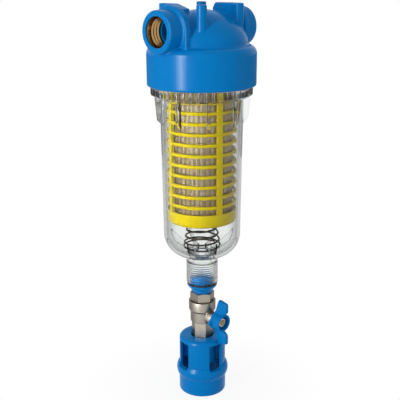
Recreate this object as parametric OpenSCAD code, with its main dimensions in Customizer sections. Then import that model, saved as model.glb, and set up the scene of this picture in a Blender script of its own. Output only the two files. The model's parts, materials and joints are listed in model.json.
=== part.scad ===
// Self cleaning water filter: a moulded head with two threaded ports, a clear bowl with a
// spring-backed screen cartridge, and a drain ball valve over a discharge tundish.
// Units are millimetres. Z is up along the bowl, X runs from the inlet to the outlet, and the
// valve handle faces -Y. The origin is at the centre of the drain spigot's lower end.

/* [Tundish] */
// Radius of the drain spigot that enters a waste pipe socket
spigot_r = 25; // [23:0.5:27]
// Length of the drain spigot
spigot_h = 17; // [12:1:24]
// Radius of the windowed cage above the spigot
cage_r = 24.6; // [23:0.1:27]
// Overall height of the tundish
tundish_h = 63; // [58:1:70]
// Wall of the tundish
tundish_wall = 2.6; // [1.8:0.1:3.4]
// How far the rounded stop rib stands out from the spigot
rib_proud = 2.7; // [1.5:0.1:4]
// Height of the rounded stop rib
rib_h = 15; // [12:0.5:17]
// Radius of the tundish's rounded top shoulder
tundish_shoulder = 4; // [2:0.5:6]
// Thickness of the tundish's top
tundish_roof = 3.5; // [2.5:0.5:5]
// Number of air gap windows
window_count = 4; // [3:1:5]
// Width of an air gap window
window_w = 15; // [8:0.2:16]
// Depth of the socket in which the valve's hexagon stands
socket_d = 5; // [3:0.5:8]
// Length of the collar that grips the valve's tail
collar_h = 12; // [8:0.5:14]
// Height of the nozzle's lower end inside the windows
nozzle_z = 33; // [31:0.5:40]

/* [Drain valve] */
// Width across flats of the valve body's hexagon
valve_hex_af = 20; // [18:0.5:21]
// Height of the valve body's hexagon
valve_hex_h = 21.5; // [18:0.5:26]
// Radius of the round valve body at its top
valve_body_r = 14.2; // [13.4:0.1:15]
// Height of the round valve body
valve_body_h = 23.5; // [22:0.5:28]
// Radius of the valve's threaded tail
tail_r = 8.6; // [7.5:0.1:9]
// Radius of the waterway through the valve
waterway_r = 4.5; // [4:0.1:4.8]
// Radius of the ball
ball_r = 7.2; // [7:0.1:7.5]
// Height of the ball's centre above the hexagon
ball_rise = 5.9; // [5.6:0.1:6.6]
// Width across flats of the end cap's hexagon
cap_hex_af = 22.4; // [21.6:0.2:24]
// Height of the end cap's hexagon
cap_hex_h = 10; // [9:0.5:14]
// Radius of the valve stem
stem_r = 3.2; // [2.8:0.1:3.4]
// Distance of the gland's outer end from the valve's axis
gland_reach = 19; // [18:0.5:22]

/* [Handle] */
// Distance from the handle's centre to the tip of a wing
wing_reach = 25; // [20:0.5:25]
// Thickness of a wing
wing_t = 4.6; // [3:0.1:6]
// Depth of a wing along the stem
wing_depth = 16.5; // [14:0.5:20]
// Radius of the handle's round hub
hub_r = 9.4; // [8.6:0.1:11]
// Depth of the hub along the stem
hub_depth = 12; // [9:0.5:14]
// Half width of the diamond plate behind the hub
plate_half_w = 13.2; // [11:0.2:15]

/* [Drain adapter] */
// Radius of the adapter's flange
adapter_r = 15.7; // [14.6:0.1:16.5]
// Height of the adapter between the valve and its flange
adapter_cone_h = 5; // [3:0.5:9]
// Thickness of the adapter's flange
adapter_flange_h = 4.4; // [4:0.1:7]
// Radius of the thread that screws into the bowl's neck
adapter_thread_r = 12; // [11:0.1:12.6]
// Length of the thread that screws into the bowl's neck
adapter_thread_h = 8; // [6:0.5:14]
// Thickness of the gasket under the bowl's neck
drain_gasket_h = 1.6; // [0.6:0.1:2]

/* [Bowl] */
// Radius of the bowl's neck
neck_r = 16.5; // [15:0.1:18]
// Height of the bowl's neck
neck_h = 27; // [22:0.5:34]
// Radius of the bowl above its rounded bottom
bowl_r = 39.4; // [38.8:0.1:40.2]
// Growth of the bowl's radius from bottom to flange
bowl_draft = 1.8; // [0.5:0.1:2.4]
// Wall of the bowl
bowl_wall = 3; // [2:0.1:3.4]
// Height of the bowl's rounded bottom
bowl_bottom_h = 28; // [25:0.5:34]
// Height of the bowl's tapered wall
bowl_wall_h = 142; // [130:1:160]
// Radius of the flange under the head
flange_r = 50.2; // [48.6:0.1:52]
// Height of the flange under the head
flange_h = 9.5; // [7:0.5:12]
// Radius of the threaded rim inside the head
rim_r = 46; // [44.5:0.1:47]
// Height of the threaded rim inside the head
rim_h = 21.5; // [18:0.5:26]
// Radius of the drain hole
drain_r = 9.5; // [7:0.1:10.5]
// Number of grip fins under the flange
fin_count = 9; // [6:1:12]
// Length of a grip fin
fin_h = 27; // [18:0.5:34]
// Thickness of a grip fin
fin_t = 3.2; // [2:0.1:4.5]
// Number of ribs that carry the spring
seat_rib_count = 8; // [4:1:10]
// Height of the spring's seat above the bowl's bottom
spring_seat_h = 12; // [9:0.5:15]

/* [Cartridge] */
// Outer radius of the cartridge
cartridge_r = 35; // [34:0.1:35.4]
// Height of the cartridge's bottom cap
bottom_cap_h = 14; // [10:0.5:18]
// Height of the cage between the caps
cage_h = 136.4; // [128:0.2:140]
// Number of rings on the cage
cage_ring_count = 13; // [8:1:14]
// Height of a cage ring
cage_ring_h = 3.2; // [2:0.1:4]
// Width of an upright bar of the cage
cage_bar_w = 6; // [4:0.5:9]
// Outer radius of the woven screen
screen_r = 31; // [30:0.1:31.6]
// Thickness of the woven screen
screen_t = 0.5; // [0.3:0.1:0.8]
// Number of thin ribs on the core inside the screen
core_rib_count = 20; // [10:1:24]
// Height of the cartridge's top cap
top_cap_h = 8; // [6:0.5:10]
// Radius of the outlet neck on the top cap
outlet_neck_r = 14.4; // [12:0.1:14.8]
// How far the cartridge is pushed down while it is flushed
flush_travel = 8; // [4:0.5:8]
// Length of the outlet neck that stays in its tube while it is flushed
outlet_grip_h = 7; // [5:0.5:12]

/* [Spring] */
// Free space for the spring between its seat and the cartridge
spring_h = 30.6; // [26:0.2:34]
// Radius of the lowest coil, at the middle of the wire
spring_r_low = 19; // [17:0.1:20]
// Radius of the highest coil, at the middle of the wire
spring_r_high = 14; // [12.5:0.1:17]
// Thickness of the spring wire
wire_d = 2; // [1.2:0.1:2.2]
// Number of coils
spring_turns = 5.5; // [3.5:0.25:6]

/* [Head] */
// Wall of the head's threaded ring
ring_wall = 7.1; // [6:0.1:9]
// Height of the ring below its rounded shoulder
ring_h = 31; // [29:0.5:36]
// Radius of the ring's rounded shoulder
shoulder_r = 8; // [6:0.5:8]
// Height of the domed part above the ring
dome_h = 33; // [31:0.5:36]
// Radius of the curve at the dome's edge
knuckle_r = 22; // [18:0.5:26]
// Wall of the head
head_wall = 4.5; // [3.5:0.1:5]
// Height of the port axis above the ring
port_rise = 14.5; // [14:0.5:18]
// Distance from one port face to the other
port_to_port = 117; // [114:1:130]
// Radius of a port's collar
collar_r = 19.7; // [18:0.1:20.5]
// Radius of the arched plate behind a collar
arch_r = 23.5; // [22:0.1:24]
// Thickness of the arched plate
arch_t = 5; // [3.5:0.5:6]
// Distance from the head's axis to the outer face of an arched plate
arch_reach = 43.5; // [42:0.5:45]
// Radius of the water duct that joins the ports to the dome
duct_r = 15.6; // [15.2:0.1:18]
// Radius of a bracket screw column
column_r = 4.9; // [4.5:0.1:6]
// Distance between neighbouring bracket screws
bracket_pitch = 50; // [48:0.5:54]
// Height of the bracket screw columns above the port axis
column_rise = 24; // [23.5:0.5:27]
// Radius of a bracket screw hole
bracket_hole_r = 2.2; // [1.6:0.1:2.8]
// Depth of a bracket screw hole
bracket_hole_d = 14; // [8:0.5:15]

/* [Port inserts] */
// Inner radius of the port thread, at the thread's crests
port_thread_r = 12.06; // [9.5:0.01:12.4]
// Outer radius of a brass insert
insert_r = 14.5; // [13.6:0.1:15.5]
// Length of a brass insert
insert_h = 17; // [14:0.5:19]
// Radius of the bore behind an insert
port_bore_r = 11; // [8:0.1:11.5]

/* [Clearances] */
// Radial clearance of a turning or sliding fit
run_gap = 0.05; // [0.02:0.01:0.1]
// Space beside a seal that moves
seal_gap = 0.3; // [0.2:0.05:0.5]
// Radial space between screwed parts
thread_gap = 0.4; // [0.2:0.05:0.6]
// Space under the head's ring
ring_gap = 0.5; // [0.3:0.1:1]

/* [Hidden] */
$fn = 96;
blue = "#0072BC";
yellow = "#E8D800";
nickel = "#A8A498";
black = "#202020";
cut = 1;                     // overlap of a cut past a face
dome_step = 0.5;             // ledge between the ring's shoulder and the dome

// Heights, built up from the spigot
seat_z = tundish_h - socket_d;
tail_bottom_z = seat_z - collar_h;
valve_z = seat_z + valve_hex_h;
ball_z = valve_z + ball_rise;
valve_top_z = valve_z + valve_body_h;
adapter_z = valve_top_z + cap_hex_h;
adapter_flange_z = adapter_z + adapter_cone_h;
adapter_top_z = adapter_flange_z + adapter_flange_h;
neck_z = adapter_top_z + drain_gasket_h;
bowl_z = neck_z + neck_h;
bowl_wall_z = bowl_z + bowl_bottom_h;
flange_z = bowl_wall_z + bowl_wall_h;
rim_z = flange_z + flange_h;
rim_top_z = rim_z + rim_h;
spring_z = bowl_z + spring_seat_h;
bottom_cap_z = spring_z + spring_h;
cage_z = bottom_cap_z + bottom_cap_h;
top_cap_z = cage_z + cage_h;
cartridge_top_z = top_cap_z + top_cap_h;
ring_z = rim_z + ring_gap;
ring_r = rim_r + thread_gap + ring_wall;
dome_r = ring_r - shoulder_r - dome_step;
shoulder_z = ring_z + ring_h;
dome_z = shoulder_z + shoulder_r;
port_z = dome_z + port_rise;
column_top_z = port_z + column_rise;

// Tundish details
window_sink = 3;             // how far the windows reach down behind the rib
window_lintel = 1;           // wall between the windows and the top
rib_z = spigot_h + rib_h / 2;
rib_curve_r = (rib_h * rib_h / 4 + rib_proud * rib_proud) / (2 * rib_proud);
window_z = spigot_h + rib_h - window_sink;
window_phase = 80;           // turn of the windows about Z
socket_r = valve_hex_af / sqrt(3) + thread_gap;
collar_out_r = socket_r + tundish_wall;
nozzle_wall = 2.2;
web_t = 1.6;                 // webs that carry the nozzle between the windows
web_inset = 0.8;             // how far a web runs into the walls it joins

// Ball valve details
hex_phase = 33;
cap_phase = 54.5;
seat_wall = 1.2;             // how far a seat stands out past the ball
seat_ring_r = ball_r + seat_wall;
ball_room_r = seat_ring_r + run_gap;
seat_sink = 0.1;             // how far the ball reaches past a seat's outer face
seat_low = ball_r - seat_sink;
body_step = 1.6;             // how much the round body narrows below its band
body_step_h = 1.8;
body_band_h = 10;            // straight band at the round body's top
body_edge = 0.6;
cap_spigot_wall = 1.15;      // wall of the end cap where it enters the body
cap_spigot_r = ball_room_r + cap_spigot_wall;
cap_thread_r = 8.6;          // thread that takes the adapter's tail
gland_wall = 4.2;            // metal round the stem
gland_r = stem_r + gland_wall;
gland_lip = 1.5;             // metal outside the groove of the stem's O-rings
stem_collar_step = 0.8;      // how far the stem's collar stands out
stem_collar_r = stem_r + stem_collar_step;
seat_lip = stem_collar_r + seal_gap;  // depth of a seat's inner face from the ball's centre
stem_collar_h = 2;
stem_flat_cut = 0.8;         // depth of the flats that drive the handle
stem_flat_w = 2 * (stem_r - stem_flat_cut);
ball_slot_w = 3;
ball_slot_d = 2.2;
o_ring_d = 1.6;
stem_groove_r = stem_r + o_ring_d;
stem_groove_h = 5;
stem_groove_at = gland_reach - gland_lip - stem_groove_h;
nut_af = 9.2;
nut_h = 3.4;
nut_seat = 6;                // depth of the nut's seat below the hub's front
stem_tip_step = 0.8;         // shoulder on which the nut clamps the handle
stem_tip_r = stem_r - stem_tip_step;
stem_tip_sink = 1;           // how far the stem ends below the hub's front
handle_gap = 1;              // space between the gland and the handle
handle_y = gland_reach + handle_gap;
plate_half_h = 12;
plate_t = 3;
hub_wall = 2;
hub_recess_r = hub_r - hub_wall;
wing_gap = 0.8;              // space between a wing's tip and the tundish behind it
wing_back = cage_r + wing_gap;
wing_lead = 2.2;             // how much a wing's tip leans in towards its front
wing_hollow = 12.4;          // how far a wing's front edge reaches back from its tip
hub_front = handle_y + hub_depth;

// Adapter details
adapter_overhang = 2.6;      // how far the adapter's flange stands out over its cone
adapter_waist_r = adapter_r - adapter_overhang;
adapter_foot_step = 0.6;     // how much the cone narrows down to the end cap
adapter_foot_r = adapter_waist_r - adapter_foot_step;
adapter_chamfer = 2.5;
gasket_setback = 0.3;        // how far the gasket's edge lies inside the flange's
adapter_tail_h = 8;
adapter_bore_step = 1;
adapter_bore_r = waterway_r + adapter_bore_step;

// Bowl details
bowl_knuckle_r = 24;
fin_phase = 34;
fin_setback = 2.4;
fin_reach = flange_r - fin_setback;
fin_draft = 2.2;
fin_foot = 4.5;
fin_toe = 1;
flange_lip = 2;
seat_rib_t = 1.8;
seat_rib_step = 4;
seat_rib_inset = 0.2;
seat_rib_rise = 13;          // how far a rib's top climbs towards the bowl's wall
thread_floor_h = 4;          // bowl bottom left between the neck's thread and the drain hole
o_ring_bowl_d = 3.6;
o_ring_bowl_r = rim_r - bowl_wall;
rim_groove_d = 2.4;

// Cartridge details
bar_phase = 75;
bar_count = 4;
ring_depth = 2.8;
bar_depth = 2.4;
bar_recess = 0.2;            // how far the bars lie behind the rings
tenon_recess = 0.8;          // the same for the bars' ends in the caps
ring_first = 7.2;            // height of the lowest ring above the bottom cap
ring_last = 4.2;             // distance of the highest ring from the top cap
cage_ring_pitch = (cage_h - ring_first - ring_last) / (cage_ring_count - 1);
core_rib_t = 1.2;
core_rib_depth = 1.4;
core_rib_inset = 0.1;
core_ring_h = 2.4;
core_ring_count = 4;
cap_floor = 2.5;
cap_round = 4;
cap_socket_d = 2;            // depth of the caps' grooves that hold the cage, screen and core
cap_groove_out = cartridge_r - tenon_recess + run_gap;
cap_groove_in = screen_r - screen_t - core_rib_depth - 2 * run_gap;
cap_groove_lip = 2.3;        // wall inside the caps' grooves
cap_cup_r = cap_groove_in - cap_groove_lip;
gasket_t = 1.8;
spring_boss_r = spring_r_high - wire_d / 2 - seal_gap;
spring_boss_h = 2;
spring_end_turns = 0.7;      // flat part of the coil at each end
outlet_ring_d = 2.4;
outlet_neck_h = flush_travel + outlet_grip_h;
outlet_neck_wall = 3.4;
outlet_bore_r = outlet_neck_r - outlet_neck_wall;
outlet_tube_gap = 0.6;       // radial space between the neck and its tube
outlet_tube_r = outlet_neck_r + outlet_tube_gap;
outlet_tube_wall = 3.5;
outlet_groove_slack = 0.4;
outlet_groove_h = outlet_ring_d + outlet_groove_slack;
outlet_groove_end = 4.4;     // metal between the groove and the neck's end
outlet_groove_z = cartridge_top_z + outlet_neck_h - outlet_groove_end - outlet_groove_h;
outlet_tube_z = cartridge_top_z + gasket_t + seal_gap;

// Head details
inlet_stop = 2;              // space between the inlet's bore and the outlet tube
ring_chamfer = 1.2;
arch_round = 2.2;
collar_round = 1;
head_thread_r = rim_r + thread_gap;
head_stop_z = rim_top_z + o_ring_bowl_d - rim_groove_d + seal_gap;
pad_flat_to = [-10.2, 2];    // end of the flat top of the inlet's and the outlet's bracket pad
pad_slope_to = 5;
pad_slope_drop = 4.5;
duct_bore_wall = 3.5;

// Points along an arc in the plane of a profile
function arc(c, r, a0, a1, n = 10) =
    [for (i = [0 : n]) c + r * [cos(a0 + (a1 - a0) * i / n), sin(a0 + (a1 - a0) * i / n)]];

// Half outline of a domed end, from its edge (r, 0) to its crown (0, h), with an edge curve k
function dome_curve(r, h, k) =
    let (across = r - k)
    let (up = h - k)
    let (drop = (across * across - up * up) / (2 * up))
    let (turn = atan2(drop, across))
    concat(arc([across, 0], k, 0, turn), arc([0, -drop], h + drop, turn, 90));

function raised(points, z) = [for (p = points) [p[0], p[1] + z]];

function lowered(points, z) = [for (p = points) [p[0], z - p[1]]];

// Solid of revolution about Z from a half outline
module turned(points) {
    rotate_extrude() polygon(points);
}

// Tube about Z
module tube(r_out, r_in, z, h) {
    translate([0, 0, z]) difference() {
        cylinder(r = r_out, h = h);
        translate([0, 0, -cut]) cylinder(r = r_in, h = h + 2 * cut);
    }
}

// Hexagonal bar about Z, by its width across flats
module hexagon(af, h) {
    cylinder(r = af / sqrt(3), h = h, $fn = 6);
}

// Ring of round section about Z
module o_ring(r_mid, d, z) {
    translate([0, 0, z]) rotate_extrude() translate([r_mid, 0]) circle(d = d, $fn = 32);
}

// Places children along a port, with their Z axis pointing out of it, at a distance from the axis
module along_port(side, reach) {
    translate([side * reach, 0, port_z]) rotate([0, side * 90, 0]) children();
}

// Places children along the stem, with their Z axis pointing out of the valve
module along_stem(reach) {
    translate([0, -reach, ball_z]) rotate([90, 0, 0]) children();
}

// Head

module head_ring_and_dome() {
    turned(concat(
        [[0, ring_z], [ring_r - ring_chamfer, ring_z], [ring_r, ring_z + ring_chamfer]],
        arc([ring_r - shoulder_r, shoulder_z], shoulder_r, 0, 90),
        raised(dome_curve(dome_r, dome_h, knuckle_r), dome_z)
    ));
}

module arch_section(half_w) {
    polygon(concat(
        [[0, 0], [half_w, 0]],
        arc([half_w - arch_round, arch_t - arch_round], arch_round, 0, 90, 6),
        [[0, arch_t]]
    ));
}

// Arched plate: a half round top on a straight foot that sinks into the ring
module arch_plate(side) {
    foot = port_z - shoulder_z;
    along_port(side, arch_reach - arch_t) rotate([0, 0, side > 0 ? 90 : -90]) {
        rotate_extrude(angle = 180) arch_section(arch_r);
        rotate([90, 0, 0]) linear_extrude(foot) {
            arch_section(arch_r);
            mirror([1, 0]) arch_section(arch_r);
        }
    }
}

module port_collar(side) {
    reach = port_to_port / 2;
    length = reach - arch_reach + arch_t;
    along_port(side, arch_reach - arch_t) turned(concat(
        [[0, 0], [collar_r, 0]],
        arc([collar_r - collar_round, length - collar_round], collar_round, 0, 90, 4),
        [[0, length]]
    ));
}

module duct_form() {
    reach = arch_reach - arch_t / 2;
    along_port(-1, reach) mirror([0, 0, 1]) cylinder(r = duct_r, h = 2 * reach);
    translate([-reach, -duct_r, shoulder_z]) cube([2 * reach, 2 * duct_r, port_z - shoulder_z]);
}

// Wall beside a column that widens the bracket's bearing
module bracket_pad(side) {
    half = bracket_pitch / 2;
    rotate([0, 0, side > 0 ? 0 : 180]) translate([half - column_r, 0, 0])
        rotate([90, 0, 90]) linear_extrude(2 * column_r) polygon([
            [-half, dome_z], [-half, column_top_z], [pad_flat_to[side > 0 ? 1 : 0], column_top_z],
            [pad_slope_to, column_top_z - pad_slope_drop], [pad_slope_to, dome_z]
        ]);
}

module at_brackets() {
    for (x = [-1, 1], y = [-1, 1])
        translate([x * bracket_pitch / 2, y * bracket_pitch / 2, 0]) children();
}

module head_form() {
    head_ring_and_dome();
    duct_form();
    for (side = [-1, 1]) {
        arch_plate(side);
        port_collar(side);
        bracket_pad(side);
    }
    at_brackets() translate([0, 0, dome_z]) cylinder(r = column_r, h = column_top_z - dome_z);
}

module head_chamber() {
    translate([0, 0, ring_z - cut]) cylinder(r = head_thread_r, h = head_stop_z - ring_z + cut);
    inner = raised(dome_curve(dome_r - head_wall, dome_h - head_wall, knuckle_r - head_wall), dome_z);
    turned(concat([[0, head_stop_z - cut], [dome_r - head_wall, head_stop_z - cut]], inner));
}

// Tube that the cartridge's neck slides in, and the duct from it to the outlet
module outlet_passage() {
    r = outlet_tube_r + outlet_tube_wall;
    translate([0, 0, outlet_tube_z]) cylinder(r = r, h = port_z + port_bore_r - outlet_tube_z);
    along_port(1, 0) cylinder(r = port_bore_r + duct_bore_wall, h = arch_reach);
}

module head_shell() {
    color(blue) difference() {
        union() {
            difference() {
                head_form();
                head_chamber();
            }
            outlet_passage();
        }
        translate([0, 0, outlet_tube_z - cut])
            cylinder(r = outlet_tube_r, h = port_z + port_bore_r / 2 - outlet_tube_z);
        along_port(1, 0) cylinder(r = port_bore_r, h = port_to_port / 2 + cut);
        along_port(-1, outlet_tube_r + outlet_tube_wall + inlet_stop)
            cylinder(r = port_bore_r, h = port_to_port / 2);
        for (side = [-1, 1])
            along_port(side, port_to_port / 2 - insert_h)
                cylinder(r = insert_r + run_gap, h = insert_h + cut);
        at_brackets() translate([0, 0, column_top_z - bracket_hole_d])
            cylinder(r = bracket_hole_r, h = bracket_hole_d + cut);
    }
}

module port_insert(side) {
    edge = 0.8;
    color("#B08850") along_port(side, port_to_port / 2 - insert_h) turned([
        [port_thread_r, 0], [insert_r, 0], [insert_r, insert_h],
        [port_thread_r + edge, insert_h], [port_thread_r, insert_h - edge]
    ]);
}

module inlet_insert() {
    port_insert(-1);
}

module outlet_insert() {
    port_insert(1);
}

// Bowl

module bowl_o_ring() {
    color(black) o_ring(o_ring_bowl_r, o_ring_bowl_d - 2 * seal_gap,
        rim_top_z - rim_groove_d + o_ring_bowl_d / 2);
}

module bowl_outside() {
    top_r = bowl_r + bowl_draft;
    curve = dome_curve(bowl_r, bowl_bottom_h, bowl_knuckle_r);
    turned(concat(
        lowered([for (i = [len(curve) - 1 : -1 : 0]) curve[i]], bowl_wall_z),
        [
            [top_r, flange_z - flange_lip], [fin_reach, flange_z], [flange_r, flange_z + flange_lip],
            [flange_r, rim_z], [rim_r, rim_z], [rim_r, rim_top_z], [0, rim_top_z]
        ]
    ));
    translate([0, 0, neck_z]) cylinder(r = neck_r, h = neck_h + bowl_wall);
}

module bowl_inside() {
    top_r = bowl_r + bowl_draft - bowl_wall;
    rim_in = rim_r - 2 * bowl_wall;
    inner = dome_curve(bowl_r - bowl_wall, bowl_bottom_h - bowl_wall, bowl_knuckle_r - bowl_wall);
    turned(concat(
        lowered([for (i = [len(inner) - 1 : -1 : 0]) inner[i]], bowl_wall_z),
        [[top_r, flange_z - flange_lip], [rim_in, rim_z], [rim_in, rim_top_z + cut], [0, rim_top_z + cut]]
    ));
}

module grip_fin() {
    root = bowl_r;
    rotate([90, 0, 0]) translate([0, 0, -fin_t / 2]) linear_extrude(fin_t) polygon([
        [root, flange_z + flange_lip], [fin_reach, flange_z + flange_lip], [fin_reach, flange_z],
        [fin_reach - fin_draft, flange_z - fin_h + fin_foot],
        [root + bowl_draft / 2, flange_z - fin_h - fin_toe], [root, flange_z - fin_h - fin_toe]
    ]);
}

// Upright rib on the bowl's floor, with a step that centres the spring
module seat_rib() {
    step_r = spring_r_low + wire_d / 2 + seal_gap;
    middle = bowl_wall / 2;
    floor_curve = dome_curve(bowl_r - middle, bowl_bottom_h - middle, bowl_knuckle_r - middle);
    outline = lowered(floor_curve, bowl_wall_z);
    top = spring_z + seat_rib_step;
    rotate([90, 0, 0]) translate([0, 0, -seat_rib_t / 2]) linear_extrude(seat_rib_t)
        intersection() {
            polygon(concat(outline, [[0, bowl_wall_z]]));
            polygon([
                [drain_r + seat_rib_inset, bowl_z], [bowl_r, bowl_z], [bowl_r, top + seat_rib_rise],
                [step_r, top], [step_r, spring_z], [drain_r + seat_rib_inset, spring_z]
            ]);
        }
}

module bowl() {
    color("#DDE6EA", 0.45) difference() {
        union() {
            difference() {
                union() {
                    bowl_outside();
                    for (i = [0 : fin_count - 1]) rotate([0, 0, fin_phase + i * 360 / fin_count]) grip_fin();
                }
                bowl_inside();
            }
            for (i = [0 : seat_rib_count - 1]) rotate([0, 0, (i + 0.5) * 360 / seat_rib_count]) seat_rib();
        }
        translate([0, 0, neck_z]) cylinder(r = drain_r, h = neck_h + bowl_wall + cut);
        translate([0, 0, neck_z - cut])
            cylinder(r = adapter_thread_r + thread_gap, h = neck_h - thread_floor_h + cut);
        tube(o_ring_bowl_r + o_ring_bowl_d / 2, o_ring_bowl_r - o_ring_bowl_d / 2,
            rim_top_z - rim_groove_d, rim_groove_d + cut);
    }
}

module drain_gasket() {
    color(black) tube(adapter_r - gasket_setback, adapter_thread_r + run_gap, adapter_top_z, drain_gasket_h);
}

module drain_adapter() {
    tail_z = adapter_z - adapter_tail_h;
    tail_out_r = cap_thread_r - thread_gap;
    thread_top_z = neck_z + adapter_thread_h;
    color(blue) turned([
        [adapter_bore_r, tail_z], [tail_out_r, tail_z], [tail_out_r, adapter_z],
        [adapter_foot_r, adapter_z], [adapter_waist_r, adapter_flange_z],
        [adapter_r, adapter_flange_z + adapter_chamfer], [adapter_r, adapter_top_z],
        [adapter_thread_r, adapter_top_z], [adapter_thread_r, thread_top_z], [adapter_bore_r, thread_top_z]
    ]);
}

// Ball valve

module valve_end_cap() {
    spigot_z = ball_z + seat_low;
    color(nickel) difference() {
        union() {
            translate([0, 0, spigot_z]) cylinder(r = cap_spigot_r, h = valve_top_z - spigot_z + cut);
            translate([0, 0, valve_top_z]) rotate([0, 0, cap_phase]) hexagon(cap_hex_af, cap_hex_h);
        }
        translate([0, 0, spigot_z - cut]) cylinder(r = waterway_r, h = adapter_z - spigot_z);
        translate([0, 0, adapter_z - adapter_tail_h - thread_gap])
            cylinder(r = cap_thread_r, h = adapter_tail_h + thread_gap + cut);
    }
}

module valve_body() {
    foot_r = valve_body_r - body_step;
    band_z = valve_top_z - body_band_h;
    color(nickel) difference() {
        union() {
            turned([
                [0, valve_z], [foot_r - body_edge, valve_z], [foot_r, valve_z + body_edge],
                [foot_r, band_z - body_step_h], [valve_body_r, band_z],
                [valve_body_r, valve_top_z - body_edge], [valve_body_r - body_edge, valve_top_z], [0, valve_top_z]
            ]);
            translate([0, 0, seat_z]) rotate([0, 0, hex_phase]) hexagon(valve_hex_af, valve_hex_h);
            translate([0, 0, tail_bottom_z]) cylinder(r = tail_r, h = collar_h + cut);
            along_stem(0) cylinder(r = gland_r, h = gland_reach);
        }
        translate([0, 0, tail_bottom_z - cut]) cylinder(r = waterway_r, h = ball_z - tail_bottom_z);
        translate([0, 0, ball_z - seat_low]) cylinder(r = ball_room_r, h = valve_top_z - ball_z);
        translate([0, 0, ball_z + seat_low])
            cylinder(r = cap_spigot_r + run_gap, h = valve_top_z - ball_z);
        along_stem(0) cylinder(r = stem_r + run_gap, h = gland_reach + cut);
        along_stem(0) cylinder(r = stem_collar_r + run_gap, h = ball_r + stem_collar_h);
        along_stem(stem_groove_at) cylinder(r = stem_groove_r, h = stem_groove_h);
    }
}

// Seat ring with a hollow face that the ball turns against
module ball_seat(side) {
    color("white") difference() {
        tube(seat_ring_r, waterway_r, side > 0 ? ball_z + seat_lip : ball_z - seat_low, seat_low - seat_lip);
        translate([0, 0, ball_z]) sphere(r = ball_r + run_gap);
    }
}

module upper_ball_seat() {
    ball_seat(1);
}

module lower_ball_seat() {
    ball_seat(-1);
}

module valve_ball() {
    color("silver") difference() {
        translate([0, 0, ball_z]) sphere(r = ball_r);
        translate([0, 0, ball_z - ball_r - cut]) cylinder(r = waterway_r, h = 2 * (ball_r + cut));
        translate([-ball_slot_w / 2, -ball_r - cut, ball_z - ball_r])
            cube([ball_slot_w, ball_slot_d + cut, 2 * ball_r]);
    }
}

// Space outside the two flats on which the handle sits
module beside_flats(h, gap) {
    for (turn = [0, 180]) rotate([0, 0, turn])
        translate([-stem_r - cut, stem_flat_w / 2 + gap, 0]) cube([2 * (stem_r + cut), stem_r, h]);
}

module valve_stem() {
    collar_at = ball_r;
    tang = ball_slot_d - run_gap;
    tip_at = hub_front - nut_seat;
    color("#B08850") {
        along_stem(collar_at) cylinder(r = stem_collar_r, h = stem_collar_h - run_gap);
        difference() {
            along_stem(collar_at) cylinder(r = stem_r, h = tip_at - collar_at);
            along_stem(handle_y) beside_flats(hub_depth, 0);
        }
        along_stem(tip_at) cylinder(r = stem_tip_r, h = nut_seat - stem_tip_sink);
        along_stem(collar_at - tang) intersection() {
            cylinder(r = stem_r, h = tang + cut);
            translate([-ball_slot_w / 2 + run_gap, -stem_r, 0])
                cube([ball_slot_w - 2 * run_gap, 2 * stem_r, tang + cut]);
        }
    }
}

// Two rings, each in the middle of its half of the groove
module stem_o_rings() {
    color(black) for (i = [1, 3]) along_stem(stem_groove_at + stem_groove_h * i / 4)
        o_ring(stem_r + o_ring_d / 2, o_ring_d - 2 * run_gap, 0);
}

// Wing nut style handle: a blade through a round hub, on a diamond plate
module valve_handle() {
    front = handle_y + wing_depth;
    tip = wing_reach - wing_lead;
    root = wing_reach - wing_hollow;
    color(blue) difference() {
        union() {
            along_stem(handle_y) cylinder(r = hub_r, h = hub_depth);
            along_stem(handle_y) linear_extrude(plate_t) polygon([
                [plate_half_w, 0], [0, plate_half_h], [-plate_half_w, 0], [0, -plate_half_h]
            ]);
            translate([-wing_t / 2, 0, ball_z]) rotate([90, 0, 90]) linear_extrude(wing_t) polygon([
                [-handle_y, cut - hub_r], [-handle_y, hub_r - cut], [-wing_back, wing_reach], [-front, tip],
                [-front, root], [-hub_front, hub_r - cut], [-hub_front, cut - hub_r], [-front, -root],
                [-front, -tip], [-wing_back, -wing_reach]
            ]);
        }
        along_stem(handle_y - cut) difference() {
            cylinder(r = stem_r + run_gap, h = hub_depth + cut);
            beside_flats(hub_depth + 2 * cut, run_gap);
        }
        along_stem(hub_front - nut_seat) cylinder(r = hub_recess_r, h = nut_seat + wing_depth);
    }
}

module stem_nut() {
    color("silver") along_stem(hub_front - nut_seat) difference() {
        hexagon(nut_af, nut_h);
        translate([0, 0, -cut]) cylinder(r = stem_tip_r + run_gap, h = nut_h + 2 * cut);
    }
}

// Tundish

module tundish_outside() {
    bevel = 1.2;
    rib_angle = asin(rib_h / 2 / rib_curve_r);
    turned(concat(
        [[0, 0], [spigot_r - bevel, 0], [spigot_r, bevel]],
        arc([spigot_r + rib_proud - rib_curve_r, rib_z], rib_curve_r, -rib_angle, rib_angle),
        [[cage_r, spigot_h + rib_h]],
        arc([cage_r - tundish_shoulder, tundish_h - tundish_shoulder], tundish_shoulder, 0, 90, 8),
        [[0, tundish_h]]
    ));
}

module tundish_windows() {
    for (i = [0 : window_count - 1]) rotate([0, 0, window_phase + i * 360 / window_count])
        translate([collar_out_r + cut, -window_w / 2, window_z])
            cube([cage_r, window_w, tundish_h - tundish_roof - window_lintel - window_z]);
}

// Upright webs between the windows that tie the nozzle to the cage
module tundish_webs(roof_z) {
    inner = collar_out_r - web_inset;
    for (i = [0 : window_count - 1]) rotate([0, 0, window_phase + (i + 0.5) * 360 / window_count])
        translate([inner, -web_t / 2, nozzle_z + cut])
            cube([cage_r - tundish_wall + web_inset - inner, web_t, roof_z - nozzle_z]);
}

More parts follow.
